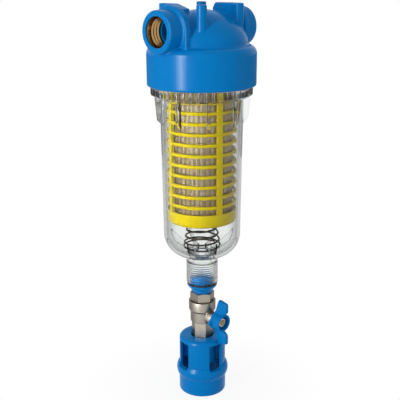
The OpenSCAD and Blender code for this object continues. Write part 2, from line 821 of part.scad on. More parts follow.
module tundish() {
    roof_z = tundish_h - tundish_roof;
    color(blue) difference() {
        union() {
            difference() {
                tundish_outside();
                translate([0, 0, -cut]) cylinder(r = cage_r - tundish_wall, h = roof_z + cut);
                tundish_windows();
            }
            translate([0, 0, nozzle_z]) cylinder(r = collar_out_r, h = roof_z + cut - nozzle_z);
            tundish_webs(roof_z);
        }
        translate([0, 0, nozzle_z - cut])
            cylinder(r = collar_out_r - nozzle_wall, h = tail_bottom_z - nozzle_z + cut);
        translate([0, 0, -cut]) cylinder(r = tail_r + run_gap, h = tundish_h);
        translate([0, 0, seat_z]) cylinder(r = socket_r, h = socket_d + cut);
    }
}

// Cartridge

module cartridge_bottom_cap() {
    groove_z = cage_z - cap_socket_d;
    color(yellow) difference() {
        union() {
            turned(concat(
                [[0, bottom_cap_z]],
                arc([cartridge_r - cap_round, bottom_cap_z + cap_round], cap_round, -90, 0, 8),
                [[cartridge_r, cage_z], [0, cage_z]]
            ));
            translate([0, 0, bottom_cap_z - spring_boss_h])
                cylinder(r = spring_boss_r, h = spring_boss_h + cut);
        }
        translate([0, 0, bottom_cap_z + cap_floor]) cylinder(r = cap_cup_r, h = bottom_cap_h);
        tube(cap_groove_out, cap_groove_in, groove_z, cap_socket_d + cut);
    }
}

module cage_ring(z) {
    edge = cage_ring_h / 4;
    r_in = cartridge_r - ring_depth;
    turned([
        [r_in, z], [cartridge_r - edge, z], [cartridge_r, z + edge],
        [cartridge_r, z + cage_ring_h - edge], [cartridge_r - edge, z + cage_ring_h], [r_in, z + cage_ring_h]
    ]);
}

module cartridge_cage() {
    low = cage_z - cap_socket_d;
    high = top_cap_z + cap_socket_d;
    outer = cartridge_r - bar_recess;
    tenon = cartridge_r - tenon_recess;
    inner = tenon - bar_depth;
    spread = cage_bar_w / outer * 180 / PI;
    color(yellow) {
        for (i = [0 : cage_ring_count - 1])
            cage_ring(cage_z + ring_first + i * cage_ring_pitch - cage_ring_h / 2);
        for (i = [0 : bar_count - 1])
            rotate([0, 0, bar_phase - spread / 2 + i * 360 / bar_count])
                rotate_extrude(angle = spread) polygon([
                    [inner, low], [tenon, low], [tenon, cage_z], [outer, cage_z],
                    [outer, top_cap_z], [tenon, top_cap_z], [tenon, high], [inner, high]
                ]);
    }
}

// Ribbed core that keeps the screen from collapsing
module screen_core() {
    low = cage_z - cap_socket_d;
    high = top_cap_z + cap_socket_d;
    outer = screen_r - screen_t - run_gap;
    step = (high - low - core_ring_h) / (core_ring_count - 1);
    color(yellow) {
        for (i = [0 : core_ring_count - 1])
            tube(outer - core_rib_depth / 3, outer - core_rib_depth, low + i * step, core_ring_h);
        for (i = [0 : core_rib_count - 1]) rotate([0, 0, i * 360 / core_rib_count])
            translate([outer - core_rib_depth + core_rib_inset, -core_rib_t / 2, low])
                cube([core_rib_depth - 2 * core_rib_inset, core_rib_t, high - low]);
    }
}

module filter_screen() {
    low = cage_z - cap_socket_d;
    color("#B9AE98") tube(screen_r, screen_r - screen_t, low, cage_h + 2 * cap_socket_d);
}

module cartridge_top_cap() {
    color(yellow) difference() {
        union() {
            translate([0, 0, top_cap_z]) cylinder(r = cartridge_r, h = top_cap_h);
            translate([0, 0, cartridge_top_z - cut]) cylinder(r = outlet_neck_r, h = outlet_neck_h + cut);
        }
        translate([0, 0, top_cap_z - cut])
            cylinder(r = outlet_bore_r, h = top_cap_h + outlet_neck_h + 2 * cut);
        translate([0, 0, top_cap_z - cut]) cylinder(r = cap_cup_r, h = top_cap_h - cap_floor + cut);
        tube(cap_groove_out, cap_groove_in, top_cap_z - cut, cap_socket_d + cut);
        tube(outlet_neck_r + cut, outlet_tube_r - outlet_ring_d, outlet_groove_z, outlet_groove_h);
    }
}

module cartridge_gasket() {
    color(black) tube(outlet_tube_r + outlet_tube_wall, outlet_neck_r + run_gap, cartridge_top_z, gasket_t);
}

module outlet_o_ring() {
    d = outlet_ring_d - 2 * run_gap;
    color(black) o_ring(outlet_tube_r - run_gap - d / 2, d, outlet_groove_z + outlet_groove_h / 2);
}

// Conical spring, swept along its own coil, with a flat coil at each end
module cartridge_spring() {
    sides = 8;
    per_turn = 24;
    flat = spring_end_turns / spring_turns;
    stations = per_turn * spring_turns;
    low = spring_z + wire_d / 2 + run_gap;
    rise = spring_h - wire_d - run_gap - seal_gap;
    function along(i) = min(1, max(0, (i / stations - flat) / (1 - 2 * flat)));
    function coil_r(i) = spring_r_low + (spring_r_high - spring_r_low) * along(i);
    function ring_at(i) = [
        for (k = [0 : sides - 1])
            let (out = coil_r(i) + wire_d / 2 * cos(k * 360 / sides))
            let (turn = i * 360 / per_turn)
            [out * cos(turn), out * sin(turn), low + rise * along(i) + wire_d / 2 * sin(k * 360 / sides)]
    ];
    points = [for (i = [0 : stations]) each ring_at(i)];
    sides_faces = [
        for (i = [0 : stations - 1], k = [0 : sides - 1])
            let (next = (k + 1) % sides)
            [i * sides + k, i * sides + next, (i + 1) * sides + next, (i + 1) * sides + k]
    ];
    start_face = [for (k = [sides - 1 : -1 : 0]) k];
    end_face = [for (k = [0 : sides - 1]) stations * sides + k];
    color("#3C3A34") polyhedron(points, concat(sides_faces, [start_face, end_face]), convexity = 10);
}

head_shell();
inlet_insert();
outlet_insert();
bowl_o_ring();
bowl();
drain_gasket();
drain_adapter();
valve_end_cap();
valve_body();
upper_ball_seat();
lower_ball_seat();
valve_ball();
valve_stem();
stem_o_rings();
valve_handle();
stem_nut();
tundish();
cartridge_bottom_cap();
cartridge_cage();
screen_core();
filter_screen();
cartridge_top_cap();
cartridge_gasket();
outlet_o_ring();
cartridge_spring();
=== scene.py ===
"""Looks of a self cleaning water filter, built around its fixed frame.

The pieces are modelled in metres, in the frame's own place, and each one rides on the body that carries it.
"""

import json
import math

import bmesh
import bpy
from bpy.props import FloatProperty, FloatVectorProperty, IntProperty, PointerProperty
from bpy.types import Operator, Panel, PropertyGroup
from mathutils import Matrix, Vector

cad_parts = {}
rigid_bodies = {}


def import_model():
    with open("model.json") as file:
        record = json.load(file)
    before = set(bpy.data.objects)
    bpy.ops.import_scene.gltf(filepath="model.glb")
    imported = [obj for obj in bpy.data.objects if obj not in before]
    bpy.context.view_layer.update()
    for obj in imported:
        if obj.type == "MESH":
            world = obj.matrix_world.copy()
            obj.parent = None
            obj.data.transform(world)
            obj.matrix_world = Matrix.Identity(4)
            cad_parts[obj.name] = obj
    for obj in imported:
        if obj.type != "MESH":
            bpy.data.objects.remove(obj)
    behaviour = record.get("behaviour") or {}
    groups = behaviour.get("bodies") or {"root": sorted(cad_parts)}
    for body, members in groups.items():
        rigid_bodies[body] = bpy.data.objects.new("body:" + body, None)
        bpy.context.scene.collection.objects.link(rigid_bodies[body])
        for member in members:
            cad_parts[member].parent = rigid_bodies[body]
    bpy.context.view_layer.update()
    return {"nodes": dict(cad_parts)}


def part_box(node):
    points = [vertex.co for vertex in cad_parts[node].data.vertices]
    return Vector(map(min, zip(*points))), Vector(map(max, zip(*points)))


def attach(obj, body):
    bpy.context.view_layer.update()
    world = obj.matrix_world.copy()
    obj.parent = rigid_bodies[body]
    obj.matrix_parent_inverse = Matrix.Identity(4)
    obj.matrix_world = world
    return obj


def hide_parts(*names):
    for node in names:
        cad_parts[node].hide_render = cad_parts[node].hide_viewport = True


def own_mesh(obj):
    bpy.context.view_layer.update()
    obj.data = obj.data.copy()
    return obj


bl_info = {
    "name": "Self cleaning water filter",
    "version": (1, 0, 0),
    "blender": (4, 5, 0),
    "location": "View3D > Sidebar > Water filter",
    "description": "Builds the looks of a self cleaning water filter around its fixed frame",
    "category": "Add Mesh",
}

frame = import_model()

MM = 0.001
FULL_TURN = math.tau
ROUND_STEPS = 4
SHARP_ANGLE = math.radians(32)
WELD_DISTANCE = 1e-6
FLANGE_STEP = 2.4 * MM  # how far the bowl's fins lie behind the flange's edge
KEY_WIDTH, STRIP_WIDTH = 0.1, 0.3  # of the lamps, in metres


# Sizes and colours that a user would change


def linear(hex_colour):
    """Linear colour of an sRGB hex value."""
    shares = [int(hex_colour[i : i + 2], 16) / 255 for i in (0, 2, 4)]
    return tuple(s / 12.92 if s <= 0.04045 else ((s + 0.055) / 1.055) ** 2.4 for s in shares)


def number(name, description, default, **kind):
    """A number property."""
    return FloatProperty(name=name, description=description, default=default, **kind)


def length(name, description, millimetres):
    """A length property whose default is given in millimetres."""
    return number(name, description, millimetres * MM, unit="LENGTH", precision=5)


def count(name, description, default):
    """A whole number property."""
    return IntProperty(name=name, description=description, default=default, min=1)


def degrees(name, description, default):
    """An angle property whose default is given in degrees."""
    return number(name, description, math.radians(default), subtype="ANGLE")


def colour(name, description, hex_colour):
    """A colour property whose default is an sRGB hex value."""
    return FloatVectorProperty(
        name=name, description=description, default=linear(hex_colour), subtype="COLOR", size=3, min=0, max=1
    )


class HeadSizes(PropertyGroup):
    """Sizes of the moulded head and of its brass inserts."""

    ring_r: length("Ring radius", "Radius of the head's lower ring", 53.5)
    ring_h: length("Ring height", "Height of the ring below its shoulder", 31)
    shoulder_r: length("Shoulder", "Radius of the ring's rounded shoulder", 8)
    dome_r: length("Dome radius", "Radius of the dome above the ring", 45)
    dome_h: length("Dome height", "Height of the dome above the ring", 33)
    knuckle_r: length("Dome edge", "Radius of the curve at the dome's edge", 22)
    wall: length("Wall", "Wall of the head", 4.5)
    thread_r: length("Thread radius", "Radius of the head's bore for the bowl", 46.4)
    thread_h: length("Thread height", "Depth of the head's bore for the bowl", 22.5)
    collar_r: length("Collar radius", "Radius of a port's collar", 19.7)
    arch_r: length("Arch radius", "Radius of the arched plate behind a collar", 23.5)
    arch_t: length("Arch thickness", "Thickness of the arched plate", 5)
    arch_reach: length("Arch reach", "Distance from the axis to an arched plate's face", 43.5)
    duct_r: length("Duct radius", "Radius of the duct between the ports", 15.6)
    column_r: length("Column radius", "Radius of a bracket screw column", 4.9)
    bracket_pitch: length("Bracket pitch", "Distance between neighbouring bracket screws", 50)
    screw_r: length("Screw hole", "Radius of a bracket screw hole", 2.2)
    screw_d: length("Screw depth", "Depth of a bracket screw hole", 14)
    port_r: length("Port bore", "Radius of the bore behind an insert", 11)
    thread_crest_r: length("Port thread", "Inner radius of the port thread", 12.06)
    thread_pitch: length("Port pitch", "Pitch at which the port thread is drawn", 3.4)
    fuse: length("Blend", "Fineness of the blends between the moulded forms", 0.8)


class BowlSizes(PropertyGroup):
    """Sizes of the clear bowl."""

    neck_r: length("Neck radius", "Radius of the bowl's neck", 16.5)
    neck_h: length("Neck height", "Height of the bowl's neck", 27)
    neck_bore_r: length("Neck bore", "Radius of the neck's threaded bore", 12.4)
    thread_d: length("Thread depth", "Depth of the thread in the neck's bore", 0.3)
    neck_floor: length("Neck floor", "Bottom left between the bore and the drain hole", 4)
    drain_r: length("Drain radius", "Radius of the drain hole", 9.5)
    bowl_r: length("Bowl radius", "Radius of the bowl above its bottom", 39.4)
    draft: length("Draft", "Growth of the radius from bottom to flange", 1.8)
    wall: length("Wall", "Wall of the bowl", 3)
    bottom_h: length("Bottom height", "Height of the rounded bottom", 28)
    knuckle_r: length("Bottom edge", "Radius of the curve at the bottom's edge", 24)
    wall_h: length("Wall height", "Height of the tapered wall", 142)
    flange_r: length("Flange radius", "Radius of the flange under the head", 50.2)
    flange_h: length("Flange height", "Height of the flange under the head", 9.5)
    flange_lip: length("Flange lip", "Slope under the flange", 2)
    rim_r: length("Rim radius", "Radius of the rim inside the head", 46)
    fin_count: count("Fins", "Number of grip fins", 9)
    fin_h: length("Fin length", "Length of a grip fin", 27)
    fin_t: length("Fin thickness", "Thickness of a grip fin", 3.2)
    fin_phase: degrees("Fin turn", "Turn of the first fin", 34)
    rib_count: count("Seat ribs", "Number of ribs that carry the spring", 8)
    rib_t: length("Rib thickness", "Thickness of a seat rib", 1.8)


class CartridgeSizes(PropertyGroup):
    """Sizes of the screen cartridge and its spring."""

    outer_r: length("Radius", "Outer radius of the cartridge", 35)
    bottom_h: length("Bottom cap", "Height of the bottom cap", 14)
    cap_round: length("Cap edge", "Radius of the bottom cap's edge", 4)
    ring_count: count("Rings", "Number of rings on the cage", 13)
    ring_h: length("Ring height", "Height of a cage ring", 3.2)
    ring_d: length("Ring depth", "Depth of a cage ring", 2.8)
    ring_first: length("First ring", "Height of the lowest ring above the bottom cap", 7.2)
    ring_last: length("Last ring", "Distance of the highest ring from the top cap", 4.2)
    bar_count: count("Bars", "Number of upright bars", 4)
    bar_w: length("Bar width", "Width of an upright bar", 5.2)
    bar_d: length("Bar depth", "Depth of an upright bar", 2.4)
    bar_recess: length("Bar recess", "How far the bars lie behind the rings", 0.2)
    tenon_recess: length("Tenon recess", "How far the bars' ends in the caps lie behind the rings", 0.8)
    bar_phase: degrees("Bar turn", "Turn of the first bar", 75)
    socket_d: length("Socket", "Depth of the caps' grooves", 2)
    core_ribs: count("Core ribs", "Number of thin ribs inside the screen", 20)
    wire_d: length("Spring wire", "Thickness of the spring wire", 2)
    spring_low_r: length("Low coil", "Radius of the lowest coil", 19)
    spring_high_r: length("High coil", "Radius of the highest coil", 14)


class ValveSizes(PropertyGroup):
    """Sizes of the drain adapter, the ball valve and its handle."""

    adapter_r: length("Adapter radius", "Radius of the adapter's flange", 15.7)
    adapter_waist_r: length("Adapter waist", "Radius under the adapter's flange", 13.1)
    adapter_foot_r: length("Adapter foot", "Radius of the adapter's foot", 10.6)
    adapter_thread_r: length("Adapter thread", "Radius of the adapter's thread", 12)
    adapter_bore_r: length("Adapter bore", "Radius of the adapter's bore", 5.5)
    adapter_tail_r: length("Adapter tail", "Radius of the tail in the end cap", 8.2)
    adapter_flange_h: length("Adapter flange", "Thickness of the adapter's flange", 4.4)
    adapter_cone_h: length("Adapter cone", "Height of the adapter's cone", 5)
    adapter_chamfer: length("Adapter chamfer", "Slope under the adapter's flange", 2.5)
    cap_flats: length("Cap flats", "Width across the end cap's flats", 22.4)
    cap_thread_r: length("Cap thread", "Radius of the end cap's thread", 8.6)
    cap_spigot_r: length("Cap spigot", "Radius of the end cap inside the body", 9.6)
    thread_gap: length("Thread gap", "Space between screwed parts", 0.4)
    run_gap: length("Running gap", "Space between turning parts", 0.05)
    cap_phase: degrees("Cap turn", "Turn of the end cap's hexagon", 54.5)
    body_r: length("Body radius", "Radius of the round valve body", 14.2)
    body_h: length("Body height", "Height of the round valve body", 23.5)
    band_h: length("Body band", "Height of the straight band at the body's top", 10)
    room_r: length("Ball room", "Radius of the room for the ball", 8.45)
    body_step: length("Body step", "How much the body narrows below its band", 1.6)
    body_step_h: length("Step height", "Height over which the body narrows", 1.8)
    hex_flats: length("Hexagon flats", "Width across the lower hexagon's flats", 20)
    hex_phase: degrees("Hexagon turn", "Turn of the lower hexagon", 33)
    tail_r: length("Tail radius", "Radius of the valve's threaded tail", 8.6)
    tail_h: length("Tail length", "Length of the valve's threaded tail", 12)
    water_r: length("Waterway", "Radius of the waterway", 4.5)
    gland_r: length("Gland radius", "Radius of the stem's gland", 7.4)
    gland_reach: length("Gland reach", "Distance of the gland's end from the axis", 19)
    stem_r: length("Stem radius", "Radius of the stem", 3.2)
    stem_collar_r: length("Stem collar", "Radius of the room for the stem's collar", 4.05)
    stem_collar_h: length("Stem collar height", "Height of the stem's collar", 1.95)
    stem_groove_r: length("Stem groove", "Radius of the groove for the stem's seals", 4.8)
    stem_tip_r: length("Stem tip", "Radius of the stem's threaded tip", 2.4)
    hub_r: length("Hub radius", "Radius of the handle's hub", 9.4)
    hub_h: length("Hub depth", "Depth of the handle's hub", 12)
    recess_r: length("Recess radius", "Radius of the recess in the hub", 7.4)
    recess_d: length("Recess depth", "Depth of the recess in the hub", 6)
    plate_w: length("Plate half width", "Half width of the diamond plate", 13.2)
    plate_h: length("Plate half height", "Half height of the diamond plate", 12)
    plate_t: length("Plate thickness", "Thickness of the diamond plate", 3)
    wing_t: length("Wing thickness", "Thickness of a wing", 4.6)
    nut_flats: length("Nut flats", "Width across the stem nut's flats", 9.2)


class TundishSizes(PropertyGroup):
    """Sizes of the tundish under the valve."""

    spigot_r: length("Spigot radius", "Radius of the drain spigot", 25)
    spigot_h: length("Spigot length", "Length of the drain spigot", 17)
    cage_r: length("Cage radius", "Radius of the windowed cage", 24.6)
    wall: length("Wall", "Wall of the tundish", 2.6)
    rib_h: length("Rib height", "Height of the rounded stop rib", 15)
    rib_proud: length("Rib", "How far the stop rib stands out", 2.7)
    shoulder: length("Shoulder", "Radius of the rounded top shoulder", 4)
    roof: length("Top", "Thickness of the top", 3.5)
    socket_r: length("Socket radius", "Radius of the socket round the hexagon", 11.95)
    socket_d: length("Socket depth", "Depth of the socket round the hexagon", 5)
    tail_hole_r: length("Tail hole", "Radius of the hole for the valve's tail", 8.65)
    collar_r: length("Collar radius", "Radius of the collar and the nozzle inside", 14.55)
    nozzle_r: length("Nozzle bore", "Radius of the nozzle's bore", 12.35)
    nozzle_z: length("Nozzle end", "Height of the nozzle's lower end", 33)
    web_t: length("Web", "Thickness of the webs that carry the nozzle", 1.6)
    window_count: count("Windows", "Number of air gap windows", 4)
    window_w: length("Window width", "Width of a window", 15)
    window_low: length("Window foot", "Height of a window's lower edge", 29)
    window_top: length("Window head", "Distance of a window's upper edge from the top", 4.5)
    window_phase: degrees("Window turn", "Turn of the first window", 80)


class Finishes(PropertyGroup):
    """Colours of the materials."""

    blue: colour("Blue", "Moulded head, handle, adapter and tundish", "0079C2")
    yellow: colour("Yellow", "Moulded cartridge", "DCC400")
    clear: colour("Clear", "Clear bowl", "F6F8F7")
    nickel: colour("Nickel", "Plated valve body and end cap", "A29C91")
    brass: colour("Brass", "Port inserts and stem", "B08C5C")
    zinc: colour("Zinc", "Stem nut", "C9CACB")
    wire: colour("Wire", "Spring", "46423A")
    screen: colour("Screen", "Woven filter screen", "B5A290")
    rib: colour("Rib", "Ribs where they show through the screen", "A89640")
    rubber: colour("Rubber", "Seals", "1A1B1C")
    seat: colour("Seat", "Ball seats", "E8E8E4")


class StageSizes(PropertyGroup):
    """Camera and light."""

    lens: number("Lens", "Focal length for a 36 mm sensor, in millimetres", 68.6)
    distance: length("Distance", "Level distance of the camera from the bowl's axis", 745)
    height: length("Height", "Height of the camera above the floor", 441)
    side_step: length("Side step", "How far the camera stands to the left", 2)
    tilt: degrees("Tilt", "How far the camera looks down", 17)
    turn: degrees("Turn", "Turn of the camera about the bowl, from the front", -45)
    roll: degrees("Roll", "How far the camera leans over", -0.2)
    key_turn: degrees("Key turn", "Turn of the key light to the left of the camera", 42)
    key_energy: number("Key power", "Power of the key light", 6.8, subtype="POWER")
    gloss_energy: number("Gloss power", "Power of the strip that only gloss shows", 46, subtype="POWER")
    sky: number("Sky", "Strength of the even light", 0.6)


# Mesh tools


def tidied(bm):
    """Closes seams and poles, and turns the faces outwards."""
    bmesh.ops.remove_doubles(bm, verts=bm.verts, dist=WELD_DISTANCE)
    bmesh.ops.recalc_face_normals(bm, faces=bm.faces)
    return bm


def rounded(bm, geom, offset, segments, affect):
    """Rounds corners or edges."""
    bmesh.ops.bevel(
        bm, geom=geom, offset=offset, offset_type="OFFSET", segments=segments, profile=0.5, affect=affect,
        clamp_overlap=True, material=-1,
    )


def turned(corners, steps=96, closed=True):
    """An outline turned about Z. A corner is a radius, a height and, where it is round, a rounding."""
    bm = bmesh.new()
    verts = [bm.verts.new((corner[0], 0, corner[1])) for corner in corners]
    ends = verts[1:] + verts[:1] if closed else verts[1:]
    for start, end in zip(verts, ends):
        bm.edges.new((start, end))
    for vert, corner in zip(verts, corners):
        if len(corner) > 2:
            rounded(bm, [vert], corner[2], ROUND_STEPS, "VERTICES")
    outline = bm.verts[:] + bm.edges[:]
    bmesh.ops.spin(
        bm, geom=outline, cent=(0, 0, 0), axis=(0, 0, 1), angle=FULL_TURN, steps=steps, use_merge=True
    )
    return tidied(bm)


def lathed(corners, steps=96):
    """A solid turned about Z. Its outline starts and ends on the axis."""
    return turned(corners, steps, closed=False)


def cylinder(radius, low, high, edge=0, steps=96):
    """A cylinder about Z, whose upper edge may be rounded."""
    corner = (radius, high, edge) if edge else (radius, high)
    return lathed([(0, low), (radius, low), corner, (0, high)], steps)


def extruded(points, depth, rounding=0):
    """A flat outline in XY, extruded along Z from 0 to depth."""
    bm = bmesh.new()
    face = bm.faces.new([bm.verts.new((x, y, 0)) for x, y in points])
    grown = bmesh.ops.extrude_face_region(bm, geom=[face])["geom"]
    lifted = [g for g in grown if isinstance(g, bmesh.types.BMVert)]
    bmesh.ops.translate(bm, vec=(0, 0, depth), verts=lifted)
    tidied(bm)
    if rounding:
        rounded(bm, bm.edges[:], rounding, ROUND_STEPS // 2, "EDGES")
    return bm


def oblong(left, right, low, high):
    """Outline of a rectangle."""
    return [(left, low), (right, low), (right, high), (left, high)]


def standing(outline, thick, rounding=0):
    """A plate on edge along X. Its outline gives radii and heights."""
    upright = Matrix(((1, 0, 0, 0), (0, 0, 1, -thick / 2), (0, 1, 0, 0), (0, 0, 0, 1)))
    return tidied(placed(extruded(outline, thick, rounding), upright))


def hexagon(flats, low, high, chamfer, turn):
    """A hexagonal bar about Z with turned corners at both ends."""
    crown_angle = math.radians(30)
    height = high - low
    corner_r = flats / math.sqrt(3)
    bm = bmesh.new()
    bmesh.ops.create_cone(bm, cap_ends=True, segments=6, radius1=corner_r, radius2=corner_r, depth=height)
    bmesh.ops.translate(bm, vec=(0, 0, height / 2), verts=bm.verts)
    reach = corner_r + chamfer
    flat_r = flats / 2 - chamfer / 2
    rise = chamfer + corner_r - flats / 2
    slope = rise * math.tan(crown_angle) + chamfer / 2
    crown = lathed([
        (0, 0), (flat_r, 0), (reach, slope), (reach, height - slope), (flat_r, height), (0, height),
    ])
    bar = combined(bm, crown, "INTERSECT")
    return placed(bar, Matrix.Translation((0, 0, low)) @ Matrix.Rotation(turn, 4, "Z"))


def close_ends(bm):
    """Closes the open ends of a swept shape."""
    open_edges = [e for e in bm.edges if len(e.link_faces) == 1]
    bmesh.ops.holes_fill(bm, edges=open_edges, sides=0)
    return tidied(bm)


def screw_ridge(radius, pitch, turns, depth, low, steps=40):
    """A screw thread's ridge that climbs about Z from a height. A negative depth points inwards."""
    half_share, root_share = 0.45, 0.2
    bm = bmesh.new()
    half = pitch * half_share
    root_r = radius - depth * root_share
    verts = [bm.verts.new((r, 0, z)) for r, z in ((root_r, -half), (radius + depth, 0), (root_r, half))]
    for start, end in zip(verts, verts[1:] + verts[:1]):
        bm.edges.new((start, end))
    outline = bm.verts[:] + bm.edges[:]
    bmesh.ops.spin(
        bm, geom=outline, cent=(0, 0, 0), axis=(0, 0, 1), dvec=(0, 0, pitch / steps),
        angle=FULL_TURN * turns, steps=round(steps * turns),
    )
    return placed(close_ends(bm), Matrix.Translation((0, 0, low)))


def placed(bm, matrix):
    """The mesh moved by a matrix."""
    bmesh.ops.transform(bm, matrix=matrix, verts=bm.verts)
    return bm


def upright_x(reach, height):
    """Matrix that stands a flat outline up across X, at a distance from the axis."""
    return Matrix(((0, 0, 1, reach), (1, 0, 0, 0), (0, 1, 0, height), (0, 0, 0, 1)))


def along_x(side, reach, height):
    """Matrix that points Z out of a port, at a distance from the axis."""
    return Matrix.Translation((side * reach, 0, height)) @ Matrix.Rotation(side * math.pi / 2, 4, "Y")


def along_stem(reach):
    """Matrix that points Z out along the valve's stem, at a distance from the axis."""
    return Matrix.Translation((0, -reach, STEM_Z)) @ Matrix.Rotation(math.pi / 2, 4, "X")


def around(index, total, phase=0.0):
    """Matrix of one place in a ring of like places."""
    return Matrix.Rotation(phase + index * FULL_TURN / total, 4, "Z")


def patterned(make, total, phase=0.0, first=0, start=Matrix()):
    """Like parts in a ring about Z, in one mesh. Each is made anew and moved by the start matrix first."""
    return gathered([placed(make(), around(i + first, total, phase) @ start) for i in range(total)])


def gathered(parts):
    """Several meshes in one."""
    whole = bmesh.new()
    for part in parts:
        mesh = bpy.data.meshes.new("part")
        part.to_mesh(mesh)
        part.free()
        whole.from_mesh(mesh)
        bpy.data.meshes.remove(mesh)
    return whole


def as_object(name, bm):
    """An object in the scene that holds the mesh."""
    mesh = bpy.data.meshes.new(name)
    bm.to_mesh(mesh)
    bm.free()
    made = bpy.data.objects.new(name, mesh)
    bpy.context.scene.collection.objects.link(made)
    return made


def applied(made):
    """The mesh that an object's modifiers give. The object is removed."""
    graph = bpy.context.evaluated_depsgraph_get()
    bm = bmesh.new()
    bm.from_object(made, graph)
    removed(made)
    return bm


def removed(made):
    """Removes an object and its mesh."""
    mesh = made.data
    bpy.data.objects.remove(made)
    bpy.data.meshes.remove(mesh)


def combined(base, other, operation):
    """Two closed meshes joined, cut or intersected."""
    made, tool = as_object("base", base), as_object("tool", other)
    modifier = made.modifiers.new("combine", "BOOLEAN")
    modifier.operation = operation
    modifier.solver = "EXACT"
    modifier.object = tool
    bm = applied(made)
    removed(tool)
    return bm


def fused(base, fineness):
    """Overlapping closed forms blended into one moulding."""
    soften_share, soften_rounds = 0.5, 4
    made = as_object("moulding", base)
    modifier = made.modifiers.new("fuse", "REMESH")
    modifier.mode = "VOXEL"
    modifier.voxel_size = fineness
    modifier = made.modifiers.new("soften", "SMOOTH")
    modifier.factor = soften_share
    modifier.iterations = soften_rounds
    return applied(made)


def shares(start, end, steps):
    """Even steps from start to end, both included."""
    return [start + (end - start) * i / steps for i in range(steps + 1)]


def arc(radius, start, end, steps, middle=(0, 0)):
    """Points of an arc about a middle."""
    x, y = middle
    return [(x + radius * math.cos(a), y + radius * math.sin(a)) for a in shares(start, end, steps)]


def dome_arc(r, h, knuckle, z, up, least_r=0.0, steps=10):
    """Points of a domed end, from its edge at radius r and height z to its crown, beyond radius least_r."""
    across, rise = r - knuckle, h - knuckle
    drop = (across * across - rise * rise) / (2 * rise)
    turn = math.atan2(drop, across)
    last = math.acos(min(1, least_r / (h + drop)))
    edge = arc(knuckle, 0, turn, steps, (across, 0))
    crown = arc(h + drop, turn, last, steps, (0, -drop))
    return [(max(x, least_r), z + up * y) for x, y in edge + crown[1:]]


def piece(name, bm, finish_name, body, *nodes):
    """A finished piece that rides on a body and stands for CAD nodes."""
    for face in bm.faces:
        face.smooth = True
    for edge in bm.edges:
        if len(edge.link_faces) == 2 and edge.calc_face_angle(0) > SHARP_ANGLE:
            edge.smooth = False
    made = as_object(name, bm)
    made.data.materials.append(finish(finish_name))
    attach(made, body)
    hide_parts(*nodes)
    return made


# Places that the frame gives

RING_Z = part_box("head_shell")[0].z
COLUMN_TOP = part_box("head_shell")[1].z
PORT_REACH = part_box("head_shell")[1].x
PORT_Z = sum(corner.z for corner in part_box("inlet_insert")) / 2
INSERT_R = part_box("inlet_insert")[1].y
INSERT_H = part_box("outlet_insert")[1].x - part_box("outlet_insert")[0].x
NECK_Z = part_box("bowl")[0].z
RIM_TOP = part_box("bowl")[1].z
SPRING_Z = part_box("cartridge_spring")[0].z
CARTRIDGE_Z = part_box("cartridge_cage")[0].z
CARTRIDGE_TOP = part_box("cartridge_cage")[1].z
STEM_Z = sum(corner.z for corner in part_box("valve_stem")) / 2
VALVE_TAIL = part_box("valve_body")[0].z
VALVE_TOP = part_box("valve_body")[1].z
HANDLE_Y = -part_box("valve_handle")[1].y
WING_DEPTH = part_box("valve_handle")[1].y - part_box("valve_handle")[0].y
WING_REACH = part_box("valve_handle")[1].z - STEM_Z
TUNDISH_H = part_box("tundish")[1].z


def bowl_levels(sizes):
    """Heights of the bowl's bottom, of its wall's foot and of its flange."""
    bowl_z = NECK_Z + sizes.neck_h
    wall_z = bowl_z + sizes.bottom_h
    return bowl_z, wall_z, wall_z + sizes.wall_h


# Materials

WEAVE_MAP = "weave"


def add_node(tree, kind, settings=None, inputs=None):
    """Adds a shader node. A socket given as an input is linked, and any other value is set."""
    made = tree.nodes.new("ShaderNode" + kind)
    for name, value in (settings or {}).items():
        setattr(made, name, value)
    for name, value in (inputs or {}).items():
        if isinstance(value, bpy.types.NodeSocket):
            tree.links.new(value, made.inputs[name])
        else:
            made.inputs[name].default_value = value
    return made


def new_material(name):
    """An empty material, its tree and its output."""
    material = bpy.data.materials.new(name)
    material.use_nodes = True
    tree = material.node_tree
    tree.nodes.clear()
    return material, tree, add_node(tree, "OutputMaterial")


def rgba(values, factor=1.0):
    """A colour for a socket, made lighter or darker by a factor."""
    return (*(min(1.0, v * factor) for v in values), 1.0)


def object_place(tree):
    """The place on the object, in metres."""
    return add_node(tree, "TexCoord").outputs["Object"]


def facing_away(tree):
    """Nought where the surface faces the eye, and one where it is seen edge on."""
    return add_node(tree, "LayerWeight", inputs={"Blend": 0.5}).outputs["Facing"]


def noise(tree, place, mark_mm, detail):
    """A noise whose marks are about so many millimetres wide."""
    inputs = {"Vector": place, "Scale": 1 / (mark_mm * MM), "Detail": detail}
    return add_node(tree, "TexNoise", inputs=inputs).outputs["Fac"]


def maths(tree, operation, *values):
    """The result of an operation on values or sockets."""
    return add_node(tree, "Math", {"operation": operation}, dict(enumerate(values))).outputs["Value"]


def length_of(tree, vector):
    """The length of a vector."""
    return add_node(tree, "VectorMath", {"operation": "LENGTH"}, {0: vector}).outputs["Value"]


def mapped(tree, value, low, high, start=0.0, end=1.0):
    """A value between start and end, moved to between low and high."""
    inputs = {"Value": value, "From Min": start, "From Max": end, "To Min": low, "To Max": high}
    return add_node(tree, "MapRange", inputs=inputs).outputs["Result"]


def blended(tree, factor, first, second):
    """A colour between two others."""
    inputs = {"Factor": factor, "A": first, "B": second}
    return add_node(tree, "Mix", {"data_type": "RGBA"}, inputs).outputs["Result"]


def bumped(tree, height, strength, depth_mm, **under):
    """A normal that follows a relief of the given depth, over the relief under it."""
    inputs = {"Height": height, "Strength": strength, "Distance": depth_mm * MM, **under}
    return add_node(tree, "Bump", inputs=inputs).outputs["Normal"]


